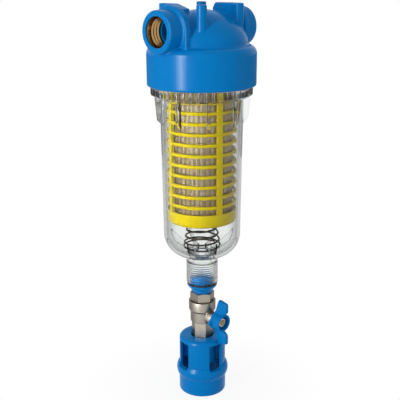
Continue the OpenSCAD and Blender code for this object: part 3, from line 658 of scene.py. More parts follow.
def principled(tree, inputs):
    """A principled surface."""
    return add_node(tree, "BsdfPrincipled", inputs=inputs).outputs["BSDF"]


def within(tree, place, radius, side, height):
    """One inside a radius about Z and on one side of a height, and nought elsewhere."""
    flat = add_node(tree, "VectorMath", {"operation": "MULTIPLY"}, {0: place, 1: (1, 1, 0)}).outputs["Vector"]
    level = add_node(tree, "SeparateXYZ", inputs={"Vector": place}).outputs["Z"]
    near = maths(tree, "LESS_THAN", length_of(tree, flat), radius)
    return maths(tree, "MULTIPLY", near, maths(tree, side, level, height))


def seen_rays(tree):
    """One for rays that the camera sees, also in gloss or through glass, and nought for those that light."""
    path = add_node(tree, "LightPath")
    seen = path.outputs["Is Camera Ray"]
    for ray in ("Is Glossy Ray", "Is Transmission Ray"):
        seen = maths(tree, "MAXIMUM", seen, path.outputs[ray])
    return seen


def moulded_polypropylene(name, base, roughness):
    """Injection moulded polypropylene: even colour with faint flow marks, satin gloss, fine orange peel."""
    flow_mm, flow_dark, flow_light, smoother, rougher = 9, 0.93, 1.06, 0.04, 0.05
    peel_mm, peel_strength, peel_depth_mm = 0.9, 0.35, 0.02
    material, tree, output = new_material(name)
    place = object_place(tree)
    flow = noise(tree, place, flow_mm, detail=2)
    peel = noise(tree, place, peel_mm, detail=1)
    surface = principled(tree, {
        "Base Color": blended(tree, flow, rgba(base, flow_dark), rgba(base, flow_light)),
        "Roughness": mapped(tree, flow, roughness - smoother, roughness + rougher),
        "IOR": 1.49,
        "Specular IOR Level": 0.06,
        "Normal": bumped(tree, peel, peel_strength, peel_depth_mm),
    })
    tree.links.new(surface, output.inputs["Surface"])
    return material


def clear_styrene_acrylonitrile(name, base):
    """Clear moulded styrene acrylonitrile: glassy, with painted shade that greys it where it is seen edge on,
    dull in the neck's bore and inside the rim, and it lets the lamps through."""
    ripple_mm, ripple_strength, ripple_depth_mm = 14, 0.3, 0.03
    edge_from, edge_to, edge_shade, darkening_per_m = 0.3, 0.88, 0.03, 13
    clear, dull_neck, dull_rim, lamp_share = 0.02, 0.32, 0.2, 0.95
    sizes = bpy.context.scene.filter_bowl
    bowl_z, _, flange_z = bowl_levels(sizes)
    material, tree, output = new_material(name)
    place = object_place(tree)
    bore_r = sizes.neck_bore_r + 2 * sizes.thread_d
    neck = within(tree, place, bore_r, "LESS_THAN", bowl_z - sizes.neck_floor / 2)
    rim = within(tree, place, sizes.rim_r - sizes.wall, "GREATER_THAN", flange_z - sizes.wall)
    # Painted shade: the glass darkens where it is seen edge on, standing in for the dark edges that
    # refraction gives; it is left off inside the rim
    edge = mapped(tree, facing_away(tree), 0.0, 1.0, edge_from, edge_to)
    painted_edge_shade_outside_rim = mapped(tree, rim, edge, 0.0)
    dull = maths(
        tree, "ADD", maths(tree, "MULTIPLY", neck, dull_neck), maths(tree, "MULTIPLY", rim, dull_rim)
    )
    ripple = noise(tree, place, ripple_mm, detail=1)
    surface = principled(tree, {
        # Base colour with the painted edge-on shade
        "Base Color": blended(tree, painted_edge_shade_outside_rim, rgba(base), rgba(base, edge_shade)),
        "Roughness": maths(tree, "MAXIMUM", dull, clear),
        "IOR": 1.5,
        "Specular Tint": (0.2, 0.2, 0.2, 1),
        "Transmission Weight": 1.0,
        "Normal": bumped(tree, ripple, ripple_strength, ripple_depth_mm),
    })
    open_way = add_node(tree, "BsdfTransparent", inputs={"Color": rgba(base, lamp_share)})
    path = add_node(tree, "LightPath")
    mixed = add_node(
        tree, "MixShader", inputs={0: path.outputs["Is Shadow Ray"], 1: surface, 2: open_way.outputs["BSDF"]}
    )
    tree.links.new(mixed.outputs["Shader"], output.inputs["Surface"])
    haze = add_node(tree, "VolumeAbsorption", inputs={"Color": (0, 0, 0, 1), "Density": darkening_per_m})
    tree.links.new(haze.outputs["Volume"], output.inputs["Volume"])
    return material


def metal(name, base, roughness, grain_mm, grain_depth_mm):
    """A bare or plated metal: painted shade darkens it where it turns away, and its grain roughens and tints
    it.
    """
    # away_from, away_to and dark give where the painted shade starts, where it is full, and how dark it makes
    # the metal
    away_from, away_to, dark, grain_tint = 0.02, 0.6, 0.22, -0.3
    smoother, rougher, grain_strength = 0.06, 0.08, 0.4
    material, tree, output = new_material(name)
    grain = noise(tree, object_place(tree), grain_mm, detail=3)
    # Painted shade: darker where the surface turns away from the eye, standing in for dark surroundings in
    # the reflection; the grain varies it at random
    away = mapped(tree, facing_away(tree), 0.0, 1.0, away_from, away_to)
    shade = maths(tree, "MULTIPLY_ADD", grain, grain_tint, away)
    surface = principled(tree, {
        "Base Color": blended(tree, shade, rgba(base), rgba(base, dark)),
        "Metallic": 1.0,
        "Roughness": mapped(tree, grain, roughness - smoother, roughness + rougher),
        "Normal": bumped(tree, grain, grain_strength, grain_depth_mm),
    })
    tree.links.new(surface, output.inputs["Surface"])
    return material


def woven_steel_screen(name, base, rib):
    """Woven stainless wire: real threads lie 0.1 mm apart, too fine to show, so they are drawn 1.1 mm apart.
    The screen bellies between the ribs that carry it, and their colour shows through where they touch."""
    thread_mm, thread_strength, thread_depth_mm = 1.1, 0.5, 0.25
    belly_mm, belly_strength, belly_depth_mm = 5.0, 1.0, 0.5
    wire_dark, wire_light, rib_until, open_cover, wire_cover = 0.55, 1.3, 0.4, 0.2, 0.6
    wave_unit = FULL_TURN / 20  # length of one band at scale 1
    material, tree, output = new_material(name)
    place = add_node(tree, "UVMap", {"uv_map": WEAVE_MAP}).outputs["UV"]
    warp, weft, belly = (
        add_node(
            tree, "TexWave", {"bands_direction": direction, "wave_profile": "SIN"},
            {"Vector": place, "Scale": wave_unit / (pitch * MM)},
        ).outputs["Fac"]
        for direction, pitch in (("X", thread_mm), ("Y", thread_mm), ("X", belly_mm))
    )
    weave = maths(tree, "MAXIMUM", warp, weft)
    wire = blended(tree, weave, rgba(base, wire_dark), rgba(base, wire_light))
    bellied = bumped(tree, belly, belly_strength, belly_depth_mm)
    surface = principled(tree, {
        "Base Color": blended(tree, mapped(tree, belly, 0.0, 1.0, 0.0, rib_until), rgba(rib), wire),
        "Metallic": 0.7,
        "Roughness": 0.3,
        "Alpha": mapped(tree, weave, open_cover, wire_cover),
        "Normal": bumped(tree, weave, thread_strength, thread_depth_mm, Normal=bellied),
    })
    tree.links.new(surface, output.inputs["Surface"])
    return material


def plain_moulding(name, base, roughness):
    """Moulded rubber or turned seat plastic: matte, with a fine grain."""
    grain_mm, grain_strength, grain_depth_mm, grain_dark, grain_light = 0.5, 0.4, 0.02, 0.8, 1.15
    material, tree, output = new_material(name)
    grain = noise(tree, object_place(tree), grain_mm, detail=2)
    surface = principled(tree, {
        "Base Color": blended(tree, grain, rgba(base, grain_dark), rgba(base, grain_light)),
        "Roughness": roughness,
        "Normal": bumped(tree, grain, grain_strength, grain_depth_mm),
    })
    tree.links.new(surface, output.inputs["Surface"])
    return material


def finish(name):
    """The material of that name, made when it is first asked for."""
    if name in bpy.data.materials:
        return bpy.data.materials[name]
    shade = bpy.context.scene.filter_finishes
    makers = {
        "blue_polypropylene": lambda: moulded_polypropylene(name, shade.blue, roughness=0.24),
        "yellow_polypropylene": lambda: moulded_polypropylene(name, shade.yellow, roughness=0.3),
        "clear_bowl": lambda: clear_styrene_acrylonitrile(name, shade.clear),
        "nickel_plated_brass": lambda: metal(
            name, shade.nickel, roughness=0.34, grain_mm=1.4, grain_depth_mm=0.006
        ),
        "turned_brass": lambda: metal(name, shade.brass, roughness=0.2, grain_mm=1.0, grain_depth_mm=0.002),
        "zinc_plate": lambda: metal(name, shade.zinc, roughness=0.3, grain_mm=0.8, grain_depth_mm=0.01),
        "drawn_spring_wire": lambda: metal(
            name, shade.wire, roughness=0.34, grain_mm=0.8, grain_depth_mm=0.01
        ),
        "woven_screen": lambda: woven_steel_screen(name, shade.screen, shade.rib),
        "moulded_rubber": lambda: plain_moulding(name, shade.rubber, roughness=0.6),
        "turned_fluoropolymer": lambda: plain_moulding(name, shade.seat, roughness=0.45),
    }
    return makers[name]()


# Stage


class FILTER_OT_stage(Operator):
    """Make the floor, the white surroundings, the lamps, the dark cards and the camera"""

    bl_idname = "water_filter.stage"
    bl_label = "Stage"

    def execute(self, context):
        scene = context.scene
        sizes = scene.filter_stage
        scene.view_settings.view_transform = "Standard"
        self.make_world(scene, sizes)
        self.make_floor()
        self.make_lamp(scene, sizes, "key_softbox", KEY_WIDTH, sizes.key_energy)
        self.make_gloss_strip(scene, sizes)
        for side in (-1, 1):
            self.make_card(sizes, side)
        self.make_camera(scene, sizes)
        return {"FINISHED"}

    def make_world(self, scene, sizes):
        world = bpy.data.worlds.new("white_surroundings")
        scene.world = world
        world.use_nodes = True
        tree = world.node_tree
        tree.nodes.clear()
        strength = mapped(tree, seen_rays(tree), sizes.sky, 1.0)
        sky = add_node(tree, "Background", inputs={"Color": (1, 1, 1, 1), "Strength": strength})
        output = add_node(tree, "OutputWorld")
        tree.links.new(sky.outputs["Background"], output.inputs["Surface"])

    def make_floor(self):
        """A floor that looks white and takes a faint shadow near the object."""
        half_side, grey, shadow_share, fade_from, fade_to = 3.0, 0.86, 0.1, 0.04, 0.14
        bm = bmesh.new()
        bmesh.ops.create_grid(bm, x_segments=1, y_segments=1, size=half_side)
        floor = as_object("floor", bm)
        material, tree, output = new_material("pale_floor")
        matte = add_node(tree, "BsdfDiffuse", inputs={"Color": rgba((grey, grey, grey))})
        white = add_node(tree, "Emission", inputs={"Color": (1, 1, 1, 1), "Strength": 1.0})
        plain = mapped(tree, length_of(tree, object_place(tree)), 1 - shadow_share, 1.0, fade_from, fade_to)
        share = maths(tree, "MULTIPLY", seen_rays(tree), plain)
        mixed = add_node(
            tree, "MixShader", inputs={0: share, 1: matte.outputs["BSDF"], 2: white.outputs["Emission"]}
        )
        tree.links.new(mixed.outputs["Shader"], output.inputs["Surface"])
        floor.data.materials.append(material)

    def make_lamp(self, scene, sizes, name, width, energy):
        """A tall softbox to the left of the camera."""
        reach, height, aim_z, tall = 1.2, 0.5, 0.25, 0.9
        data = bpy.data.lights.new(name, "AREA")
        data.shape = "RECTANGLE"
        data.size = width
        data.size_y = tall
        data.energy = energy
        lamp = bpy.data.objects.new(name, data)
        scene.collection.objects.link(lamp)
        turn = sizes.turn - sizes.key_turn
        lamp.location = (reach * math.sin(turn), -reach * math.cos(turn), height)
        aim = Vector((0, 0, aim_z)) - lamp.location
        lamp.rotation_euler = aim.to_track_quat("-Z", "Y").to_euler()
        return lamp

    def make_gloss_strip(self, scene, sizes):
        """A strip round the key light that shows only as gloss on the blue mouldings and the plated valve."""
        strip = self.make_lamp(scene, sizes, "gloss_strip", STRIP_WIDTH, sizes.gloss_energy)
        strip.visible_diffuse = False
        strip.visible_transmission = False
        glossy = bpy.data.collections.new("glossy_pieces")
        for item in scene.objects:
            slots = item.data.materials if item.type == "MESH" else ()
            if any(slot.name in ("blue_polypropylene", "nickel_plated_brass") for slot in slots):
                glossy.objects.link(item)
        strip.light_linking.receiver_collection = glossy

    def make_card(self, sizes, side):
        """A low dark card behind the object, which gloss alone shows, so that edges keep their colour."""
        reach, turn, width, tall, grey = 0.9, math.radians(132), 1.15, 0.34, 0.25
        bm = bmesh.new()
        bmesh.ops.create_grid(bm, x_segments=1, y_segments=1, size=0.5)
        card = as_object("dark_card", placed(bm, Matrix.Diagonal((width, tall, 1, 1))))
        toward = sizes.turn + side * turn
        card.location = (reach * math.sin(toward), -reach * math.cos(toward), tall / 2)
        card.rotation_euler = (math.pi / 2, 0, toward)
        for kind in ("camera", "diffuse", "transmission", "volume_scatter", "shadow"):
            setattr(card, "visible_" + kind, False)
        material, tree, output = new_material("dark_card")
        matte = add_node(tree, "BsdfDiffuse", inputs={"Color": rgba((grey, grey, grey))})
        tree.links.new(matte.outputs["BSDF"], output.inputs["Surface"])
        card.data.materials.append(material)

    def make_camera(self, scene, sizes):
        data = bpy.data.cameras.new("camera")
        data.sensor_width = 36
        data.lens = sizes.lens
        camera = bpy.data.objects.new("camera", data)
        scene.collection.objects.link(camera)
        toward = Matrix.Rotation(sizes.turn, 4, "Z")
        roll = Matrix.Rotation(sizes.roll, 4, "Z")
        view = toward @ Matrix.Rotation(math.pi / 2 - sizes.tilt, 4, "X") @ roll
        camera.rotation_euler = view.to_euler()
        camera.location = toward @ Vector((-sizes.side_step, -sizes.distance, sizes.height))
        scene.camera = camera


# Head


class FILTER_OT_head(Operator):
    """Make the moulded head with its ports, screw columns and pads"""

    bl_idname = "water_filter.head"
    bl_label = "Head"

    def execute(self, context):
        sizes = context.scene.filter_head
        form = gathered(
            [self.ring_and_dome(sizes), self.duct(sizes)]
            + [make(sizes, side) for make in (self.arch, self.collar, self.pad) for side in (-1, 1)]
            + self.columns(sizes)
        )
        moulding = fused(form, sizes.fuse)
        for tool in (self.hollow(sizes), self.bores(sizes)):
            moulding = combined(moulding, tool, "DIFFERENCE")
        piece("head_moulding", moulding, "blue_polypropylene", "head", "head_shell")
        return {"FINISHED"}

    def dome_z(self, sizes):
        return RING_Z + sizes.ring_h + sizes.shoulder_r

    def ring_and_dome(self, sizes):
        edge = 1.2 * MM
        dome_z = self.dome_z(sizes)
        dome = dome_arc(sizes.dome_r, sizes.dome_h, sizes.knuckle_r, dome_z, 1)
        return lathed(
            [(0, RING_Z), (sizes.ring_r, RING_Z, edge), (sizes.ring_r, dome_z, sizes.shoulder_r), *dome]
        )

    def arched(self, sizes, radius, near, depth, steps, edge=0):
        """A bar along X with a round top about the ports' axis, which reaches down to the ring."""
        drop = RING_Z + sizes.ring_h - PORT_Z
        outline = arc(radius, 0, math.pi, steps) + [(-radius, drop), (radius, drop)]
        return placed(extruded(outline, depth, edge), upright_x(near, PORT_Z))

    def duct(self, sizes):
        reach = sizes.arch_reach - sizes.arch_t / 2
        return self.arched(sizes, sizes.duct_r, -reach, 2 * reach, steps=32)

    def arch(self, sizes, side):
        edge = 2.2 * MM
        thick = sizes.arch_t + edge
        near = sizes.arch_reach - (thick if side > 0 else 0)
        return self.arched(sizes, sizes.arch_r, side * near, thick, steps=40, edge=edge)

    def collar(self, sizes, side):
        edge = 1.0 * MM
        start = sizes.arch_reach - sizes.arch_t
        return placed(cylinder(sizes.collar_r, 0, PORT_REACH - start, edge), along_x(side, start, PORT_Z))

    def pad(self, sizes, side):
        flat_to, slope_to, slope_drop = (2 if side > 0 else -10.2) * MM, 5 * MM, 4.5 * MM
        half = sizes.bracket_pitch / 2
        foot = self.dome_z(sizes)
        outline = [
            (-half, foot), (-half, COLUMN_TOP), (flat_to, COLUMN_TOP),
            (slope_to, COLUMN_TOP - slope_drop), (slope_to, foot),
        ]
        wall = extruded(outline, 2 * sizes.column_r)
        turn = Matrix.Rotation(0 if side > 0 else math.pi, 4, "Z")
        return placed(wall, turn @ upright_x(half - sizes.column_r, 0))

    def at_brackets(self, sizes, make):
        """A form at each of the four bracket screws."""
        half = sizes.bracket_pitch / 2
        return [placed(make(), Matrix.Translation((x * half, y * half, 0))) for x in (-1, 1) for y in (-1, 1)]

    def columns(self, sizes):
        edge = 0.8 * MM
        foot = self.dome_z(sizes)
        return self.at_brackets(sizes, lambda: cylinder(sizes.column_r, foot, COLUMN_TOP, edge, steps=40))

    def hollow(self, sizes):
        below = 5 * MM
        low, stop = RING_Z - below, RING_Z + sizes.thread_h
        inner_r = sizes.dome_r - sizes.wall
        dome = dome_arc(
            inner_r, sizes.dome_h - sizes.wall, sizes.knuckle_r - sizes.wall, self.dome_z(sizes), 1
        )
        return lathed([(0, low), (sizes.thread_r, low), (sizes.thread_r, stop), (inner_r, stop), *dome])

    def bores(self, sizes):
        past = 2 * MM
        start = PORT_REACH - INSERT_H
        low, top = sizes.dome_r / 2 - start, INSERT_H + past
        port = [(0, low), (sizes.port_r, low), (sizes.port_r, 0), (INSERT_R, 0), (INSERT_R, top), (0, top)]
        ports = [placed(lathed(port), along_x(side, start, PORT_Z)) for side in (-1, 1)]
        screw_low, screw_top = COLUMN_TOP - sizes.screw_d, COLUMN_TOP + past
        screws = self.at_brackets(sizes, lambda: cylinder(sizes.screw_r, screw_low, screw_top, steps=24))
        return gathered(ports + screws)


class FILTER_OT_port_inserts(Operator):
    """Make the threaded brass inserts of both ports"""

    bl_idname = "water_filter.port_inserts"
    bl_label = "Port inserts"

    def execute(self, context):
        sizes = context.scene.filter_head
        edge, lead, sink, depth = 2.2 * MM, 0.3 * MM, 1.8 * MM, 1.2 * MM
        root_r = sizes.thread_crest_r + depth
        top = INSERT_H - sink
        pitch = sizes.thread_pitch
        turns = (top - edge - lead) / pitch - 1
        for side, node in ((-1, "inlet_insert"), (1, "outlet_insert")):
            sleeve = turned([
                (root_r, 0), (INSERT_R, 0, lead), (INSERT_R, top), (INSERT_R - lead, top),
                (root_r, top - edge),
            ])
            ridge = screw_ridge(root_r, pitch, turns, sizes.thread_crest_r - root_r, lead + pitch / 2)
            insert = placed(gathered([sleeve, ridge]), along_x(side, PORT_REACH - INSERT_H, PORT_Z))
            piece(node + "_turned", insert, "turned_brass", "head", node)
        return {"FINISHED"}


# Bowl


class FILTER_OT_bowl(Operator):
    """Make the clear bowl with its flange, grip fins, seat ribs and neck"""

    bl_idname = "water_filter.bowl"
    bl_label = "Bowl"

    def execute(self, context):
        sizes = context.scene.filter_bowl
        bowl = self.shell(sizes)
        for form in (
            patterned(lambda: self.fin(sizes), sizes.fin_count, sizes.fin_phase),
            patterned(lambda: self.seat_rib(sizes), sizes.rib_count, first=0.5),
            self.neck_thread(sizes),
            self.rim_ribs(sizes),
        ):
            bowl = combined(bowl, form, "UNION")
        piece("clear_bowl", bowl, "clear_bowl", "bowl", "bowl")
        return {"FINISHED"}

    def shell(self, sizes):
        soft, fine = 1.5 * MM, 0.6 * MM
        groove_in, groove_out, groove_d = 41.2 * MM, 44.8 * MM, 2.4 * MM
        bowl_z, wall_z, flange_z = bowl_levels(sizes)
        rim_z = flange_z + sizes.flange_h
        lip_z = flange_z - sizes.flange_lip
        top_r = sizes.bowl_r + sizes.draft
        rim_in = sizes.rim_r - 2 * sizes.wall
        bore_top = bowl_z - sizes.neck_floor
        bore_r = sizes.neck_bore_r + sizes.thread_d
        outer = dome_arc(sizes.bowl_r, sizes.bottom_h, sizes.knuckle_r, wall_z, -1, sizes.neck_r)
        inner = dome_arc(
            sizes.bowl_r - sizes.wall, sizes.bottom_h - sizes.wall, sizes.knuckle_r - sizes.wall, wall_z, -1,
            sizes.drain_r,
        )
        return turned(
            [
                (bore_r, NECK_Z), (sizes.neck_r, NECK_Z, fine), *outer[::-1], (top_r, lip_z, soft),
                (sizes.flange_r - FLANGE_STEP, flange_z), (sizes.flange_r, flange_z + sizes.flange_lip, fine),
                (sizes.flange_r, rim_z, fine), (sizes.rim_r, rim_z), (sizes.rim_r, RIM_TOP, fine),
                (groove_out, RIM_TOP), (groove_out, RIM_TOP - groove_d), (groove_in, RIM_TOP - groove_d),
                (groove_in, RIM_TOP), (rim_in, RIM_TOP, fine), (rim_in, rim_z, soft),
                (top_r - sizes.wall, lip_z, soft), *inner, (sizes.drain_r, bore_top, soft),
                (bore_r, bore_top, soft),
            ],
            steps=128,
        )

    def neck_thread(self, sizes):
        pitch, crest, end_turns, foot_turns = 2.4 * MM, 0.1 * MM, 1.6, 0.7
        turns = (sizes.neck_h - sizes.neck_floor) / pitch - end_turns
        root_r = sizes.neck_bore_r + sizes.thread_d
        return screw_ridge(root_r, pitch, turns, -sizes.thread_d - crest, NECK_Z + pitch * foot_turns)

    def rim_ribs(self, sizes):
        """Fine upright ribs inside the rim, which show as light dashes under the head."""
        total, thick, sink = 36, 2.2 * MM, 0.3 * MM
        low = bowl_levels(sizes)[2] - sizes.flange_lip
        low_r = sizes.bowl_r + sizes.draft - sizes.wall + sink
        tall = sizes.flange_h + sizes.flange_lip
        lean = math.atan2(sizes.rim_r - 2 * sizes.wall + sink - low_r, tall)
        upright = Matrix.Translation((low_r, 0, low)) @ Matrix.Rotation(lean, 4, "Y")
        return patterned(lambda: cylinder(thick / 2, 0, tall, steps=12), total, start=upright)

    def fin(self, sizes):
        edge, foot, toe, draft = 0.5 * MM, 4.5 * MM, 1.0 * MM, 2.2 * MM
        flange_z = bowl_levels(sizes)[2]
        top = flange_z + sizes.flange_lip
        reach = sizes.flange_r - FLANGE_STEP
        root = sizes.bowl_r
        low = flange_z - sizes.fin_h
        outline = [
            (root, top), (reach, top), (reach, flange_z), (reach - draft, low + foot),
            (root + sizes.draft / 2, low - toe), (root, low - toe),
        ]
        return standing(outline, sizes.fin_t, edge)

    def seat_rib(self, sizes):
        inset, step_r, step_h, rise = 0.6 * MM, 20.3 * MM, 4 * MM, 13 * MM
        wall_z = bowl_levels(sizes)[1]
        middle = sizes.wall / 2
        curve = dome_arc(
            sizes.bowl_r - middle, sizes.bottom_h - middle, sizes.knuckle_r - middle, wall_z, -1,
            sizes.drain_r + inset, steps=24,
        )
        top = SPRING_Z + step_h
        climb = rise / (sizes.bowl_r - step_r)
        floor = [(r, z) for r, z in curve if z < top + max(0, r - step_r) * climb]
        seat = [(step_r, top), (step_r, SPRING_Z), (sizes.drain_r + inset, SPRING_Z)]
        return standing(seat + floor[::-1], sizes.rib_t)


# Cartridge


class FILTER_OT_cartridge(Operator):
    """Make the cartridge: cage, ribbed core, bottom cap and woven screen"""

    bl_idname = "water_filter.cartridge"
    bl_label = "Cartridge"

    def execute(self, context):
        sizes = context.scene.filter_cartridge
        for name, make, node in (
            ("cage_moulding", self.cage, "cartridge_cage"),
            ("core_moulding", self.core, "screen_core"),
            ("bottom_cap_moulding", self.bottom_cap, "cartridge_bottom_cap"),
        ):
            piece(name, make(sizes), "yellow_polypropylene", "cartridge", node)
        self.make_screen()
        return {"FINISHED"}

    def cage(self, sizes):
        soft = 1.0 * MM
        low = CARTRIDGE_Z + sizes.socket_d + sizes.ring_first
        high = CARTRIDGE_TOP - sizes.socket_d - sizes.ring_last
        in_r, out_r = sizes.outer_r - sizes.ring_d, sizes.outer_r
        half = sizes.ring_h / 2
        rings = gathered([
            turned([(in_r, z - half), (out_r, z - half, soft), (out_r, z + half, soft), (in_r, z + half)])
            for z in shares(low, high, sizes.ring_count - 1)
        ])
        bars = patterned(lambda: self.bar(sizes), sizes.bar_count, sizes.bar_phase)
        return combined(rings, bars, "UNION")

    def bar(self, sizes):
        outer, tenon = sizes.outer_r - sizes.bar_recess, sizes.outer_r - sizes.tenon_recess
        tall = CARTRIDGE_TOP - CARTRIDGE_Z
        long = self.strip(sizes, tenon - sizes.bar_d, tenon, CARTRIDGE_Z, tall)
        face = self.strip(
            sizes, tenon - sizes.bar_d / 2, outer, CARTRIDGE_Z + sizes.socket_d, tall - 2 * sizes.socket_d
        )
        return combined(long, face, "UNION")

    def strip(self, sizes, inner, outer, low, tall):
        steps = 8
        half = sizes.bar_w / sizes.outer_r / 2
        outline = arc(outer, -half, half, steps) + arc(inner, half, -half, steps)
        return placed(extruded(outline, tall), Matrix.Translation((0, 0, low)))

    def core(self, sizes):
        depth, thick, ring_h, ring_count = 1.4 * MM, 1.2 * MM, 2.4 * MM, 4
        ring_deep, ring_back = 1.2, 1 / 3  # the rings' reach, as shares of the ribs' depth
        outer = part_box("screen_core")[1].x
        rib = oblong(outer - depth, outer, -thick / 2, thick / 2)
        tall = CARTRIDGE_TOP - CARTRIDGE_Z
        lift = Matrix.Translation((0, 0, CARTRIDGE_Z))
        ribs = patterned(lambda: extruded(rib, tall), sizes.core_ribs, start=lift)
        ring_in, ring_out = outer - depth * ring_deep, outer - depth * ring_back
        rings = gathered([
            turned(oblong(ring_in, ring_out, z, z + ring_h))
            for z in shares(CARTRIDGE_Z, CARTRIDGE_TOP - ring_h, ring_count - 1)
        ])
        return combined(ribs, rings, "UNION")

    def bottom_cap(self, sizes):
        fine, floor = 0.4 * MM, 2.5 * MM
        groove_out, groove_in, cup_r = 34.25 * MM, 29.0 * MM, 26.7 * MM
        boss_r, boss_h = 12.8 * MM, 2 * MM
        top = CARTRIDGE_Z + sizes.socket_d
        low = top - sizes.bottom_h
        return lathed([
            (0, low - boss_h), (boss_r, low - boss_h, fine), (boss_r, low),
            (sizes.outer_r, low, sizes.cap_round), (sizes.outer_r, top, fine), (groove_out, top),
            (groove_out, CARTRIDGE_Z), (groove_in, CARTRIDGE_Z), (groove_in, top), (cup_r, top),
            (cup_r, low + floor), (0, low + floor),
        ])

    def make_screen(self):
        thick = 0.5 * MM
        low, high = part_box("filter_screen")
        outer = high.x
        bm = turned(oblong(outer - thick, outer, low.z, high.z), steps=128)
        layer = bm.loops.layers.uv.new(WEAVE_MAP)
        for face in bm.faces:
            middle = face.calc_center_median()
            toward = math.atan2(middle.y, middle.x)
            for loop in face.loops:
                angle = math.atan2(loop.vert.co.y, loop.vert.co.x)
                angle += FULL_TURN * round((toward - angle) / FULL_TURN)
                loop[layer].uv = (angle * outer, loop.vert.co.z)
        piece("woven_screen", bm, "woven_screen", "cartridge", "filter_screen")


class FILTER_OT_spring(Operator):
    """Make the conical spring at its rest length; in the filter it is squeezed as the cartridge is pushed
    down
    """

    bl_idname = "water_filter.spring"
    bl_label = "Spring"

    def execute(self, context):
        sizes = context.scene.filter_cartridge
        turns, flat_turns, per_turn, sides = 5.5, 0.7, 40, 10
        low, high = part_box("cartridge_spring")
        tall = high.z - low.z
        bm = bmesh.new()
        bmesh.ops.create_circle(bm, cap_ends=False, segments=sides, radius=sizes.wire_d / 2)
        start = Matrix.Translation((sizes.spring_low_r, 0, low.z + sizes.wire_d / 2))
        placed(bm, start @ Matrix.Rotation(math.pi / 2, 4, "X"))
        outline = bm.verts[:] + bm.edges[:]
        climbing = turns - 2 * flat_turns
        for part, rise in ((flat_turns, 0), (climbing, tall - sizes.wire_d), (flat_turns, 0)):
            steps = round(part * per_turn)
            outline = bmesh.ops.spin(
                bm, geom=outline, cent=(0, 0, 0), axis=(0, 0, 1), dvec=(0, 0, rise / steps),
                angle=FULL_TURN * part, steps=steps,
            )["geom_last"]
        for vert in bm.verts:
            reach = vert.co.xy.length
            step_in = (sizes.spring_high_r - sizes.spring_low_r) * (vert.co.z - low.z) / tall
            vert.co.xy *= 1 + step_in / reach
        close_ends(bm)
        spring = piece("wound_spring", bm, "drawn_spring_wire", "bowl", "cartridge_spring")
        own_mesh(spring)
        return {"FINISHED"}


# Drain valve


class FILTER_OT_drain_adapter(Operator):
    """Make the threaded adapter between the bowl and the valve"""

    bl_idname = "water_filter.drain_adapter"
    bl_label = "Drain adapter"

    def execute(self, context):
        sizes = context.scene.filter_valve
        fine, soft = 0.4 * MM, 0.8 * MM
        pitch, depth, end_turns, foot_turns = 1.8 * MM, 0.8 * MM, 1.2, 0.6
        low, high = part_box("drain_adapter")
        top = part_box("drain_gasket")[0].z
        flange = top - sizes.adapter_flange_h
        foot = flange - sizes.adapter_cone_h
        root_r = sizes.adapter_thread_r - depth
        form = turned([
            (sizes.adapter_bore_r, low.z), (sizes.adapter_tail_r, low.z, fine), (sizes.adapter_tail_r, foot),
            (sizes.adapter_foot_r, foot, fine), (sizes.adapter_waist_r, flange, soft),
            (sizes.adapter_r, flange + sizes.adapter_chamfer, soft), (sizes.adapter_r, top, fine),
            (root_r, top), (root_r, high.z, fine), (sizes.adapter_bore_r, high.z, fine),
        ])
        turns = (high.z - top) / pitch - end_turns
        ridge = screw_ridge(root_r, pitch, turns, depth, top + pitch * foot_turns)
        piece("adapter_moulding", gathered([form, ridge]), "blue_polypropylene", "bowl", "drain_adapter")
        return {"FINISHED"}


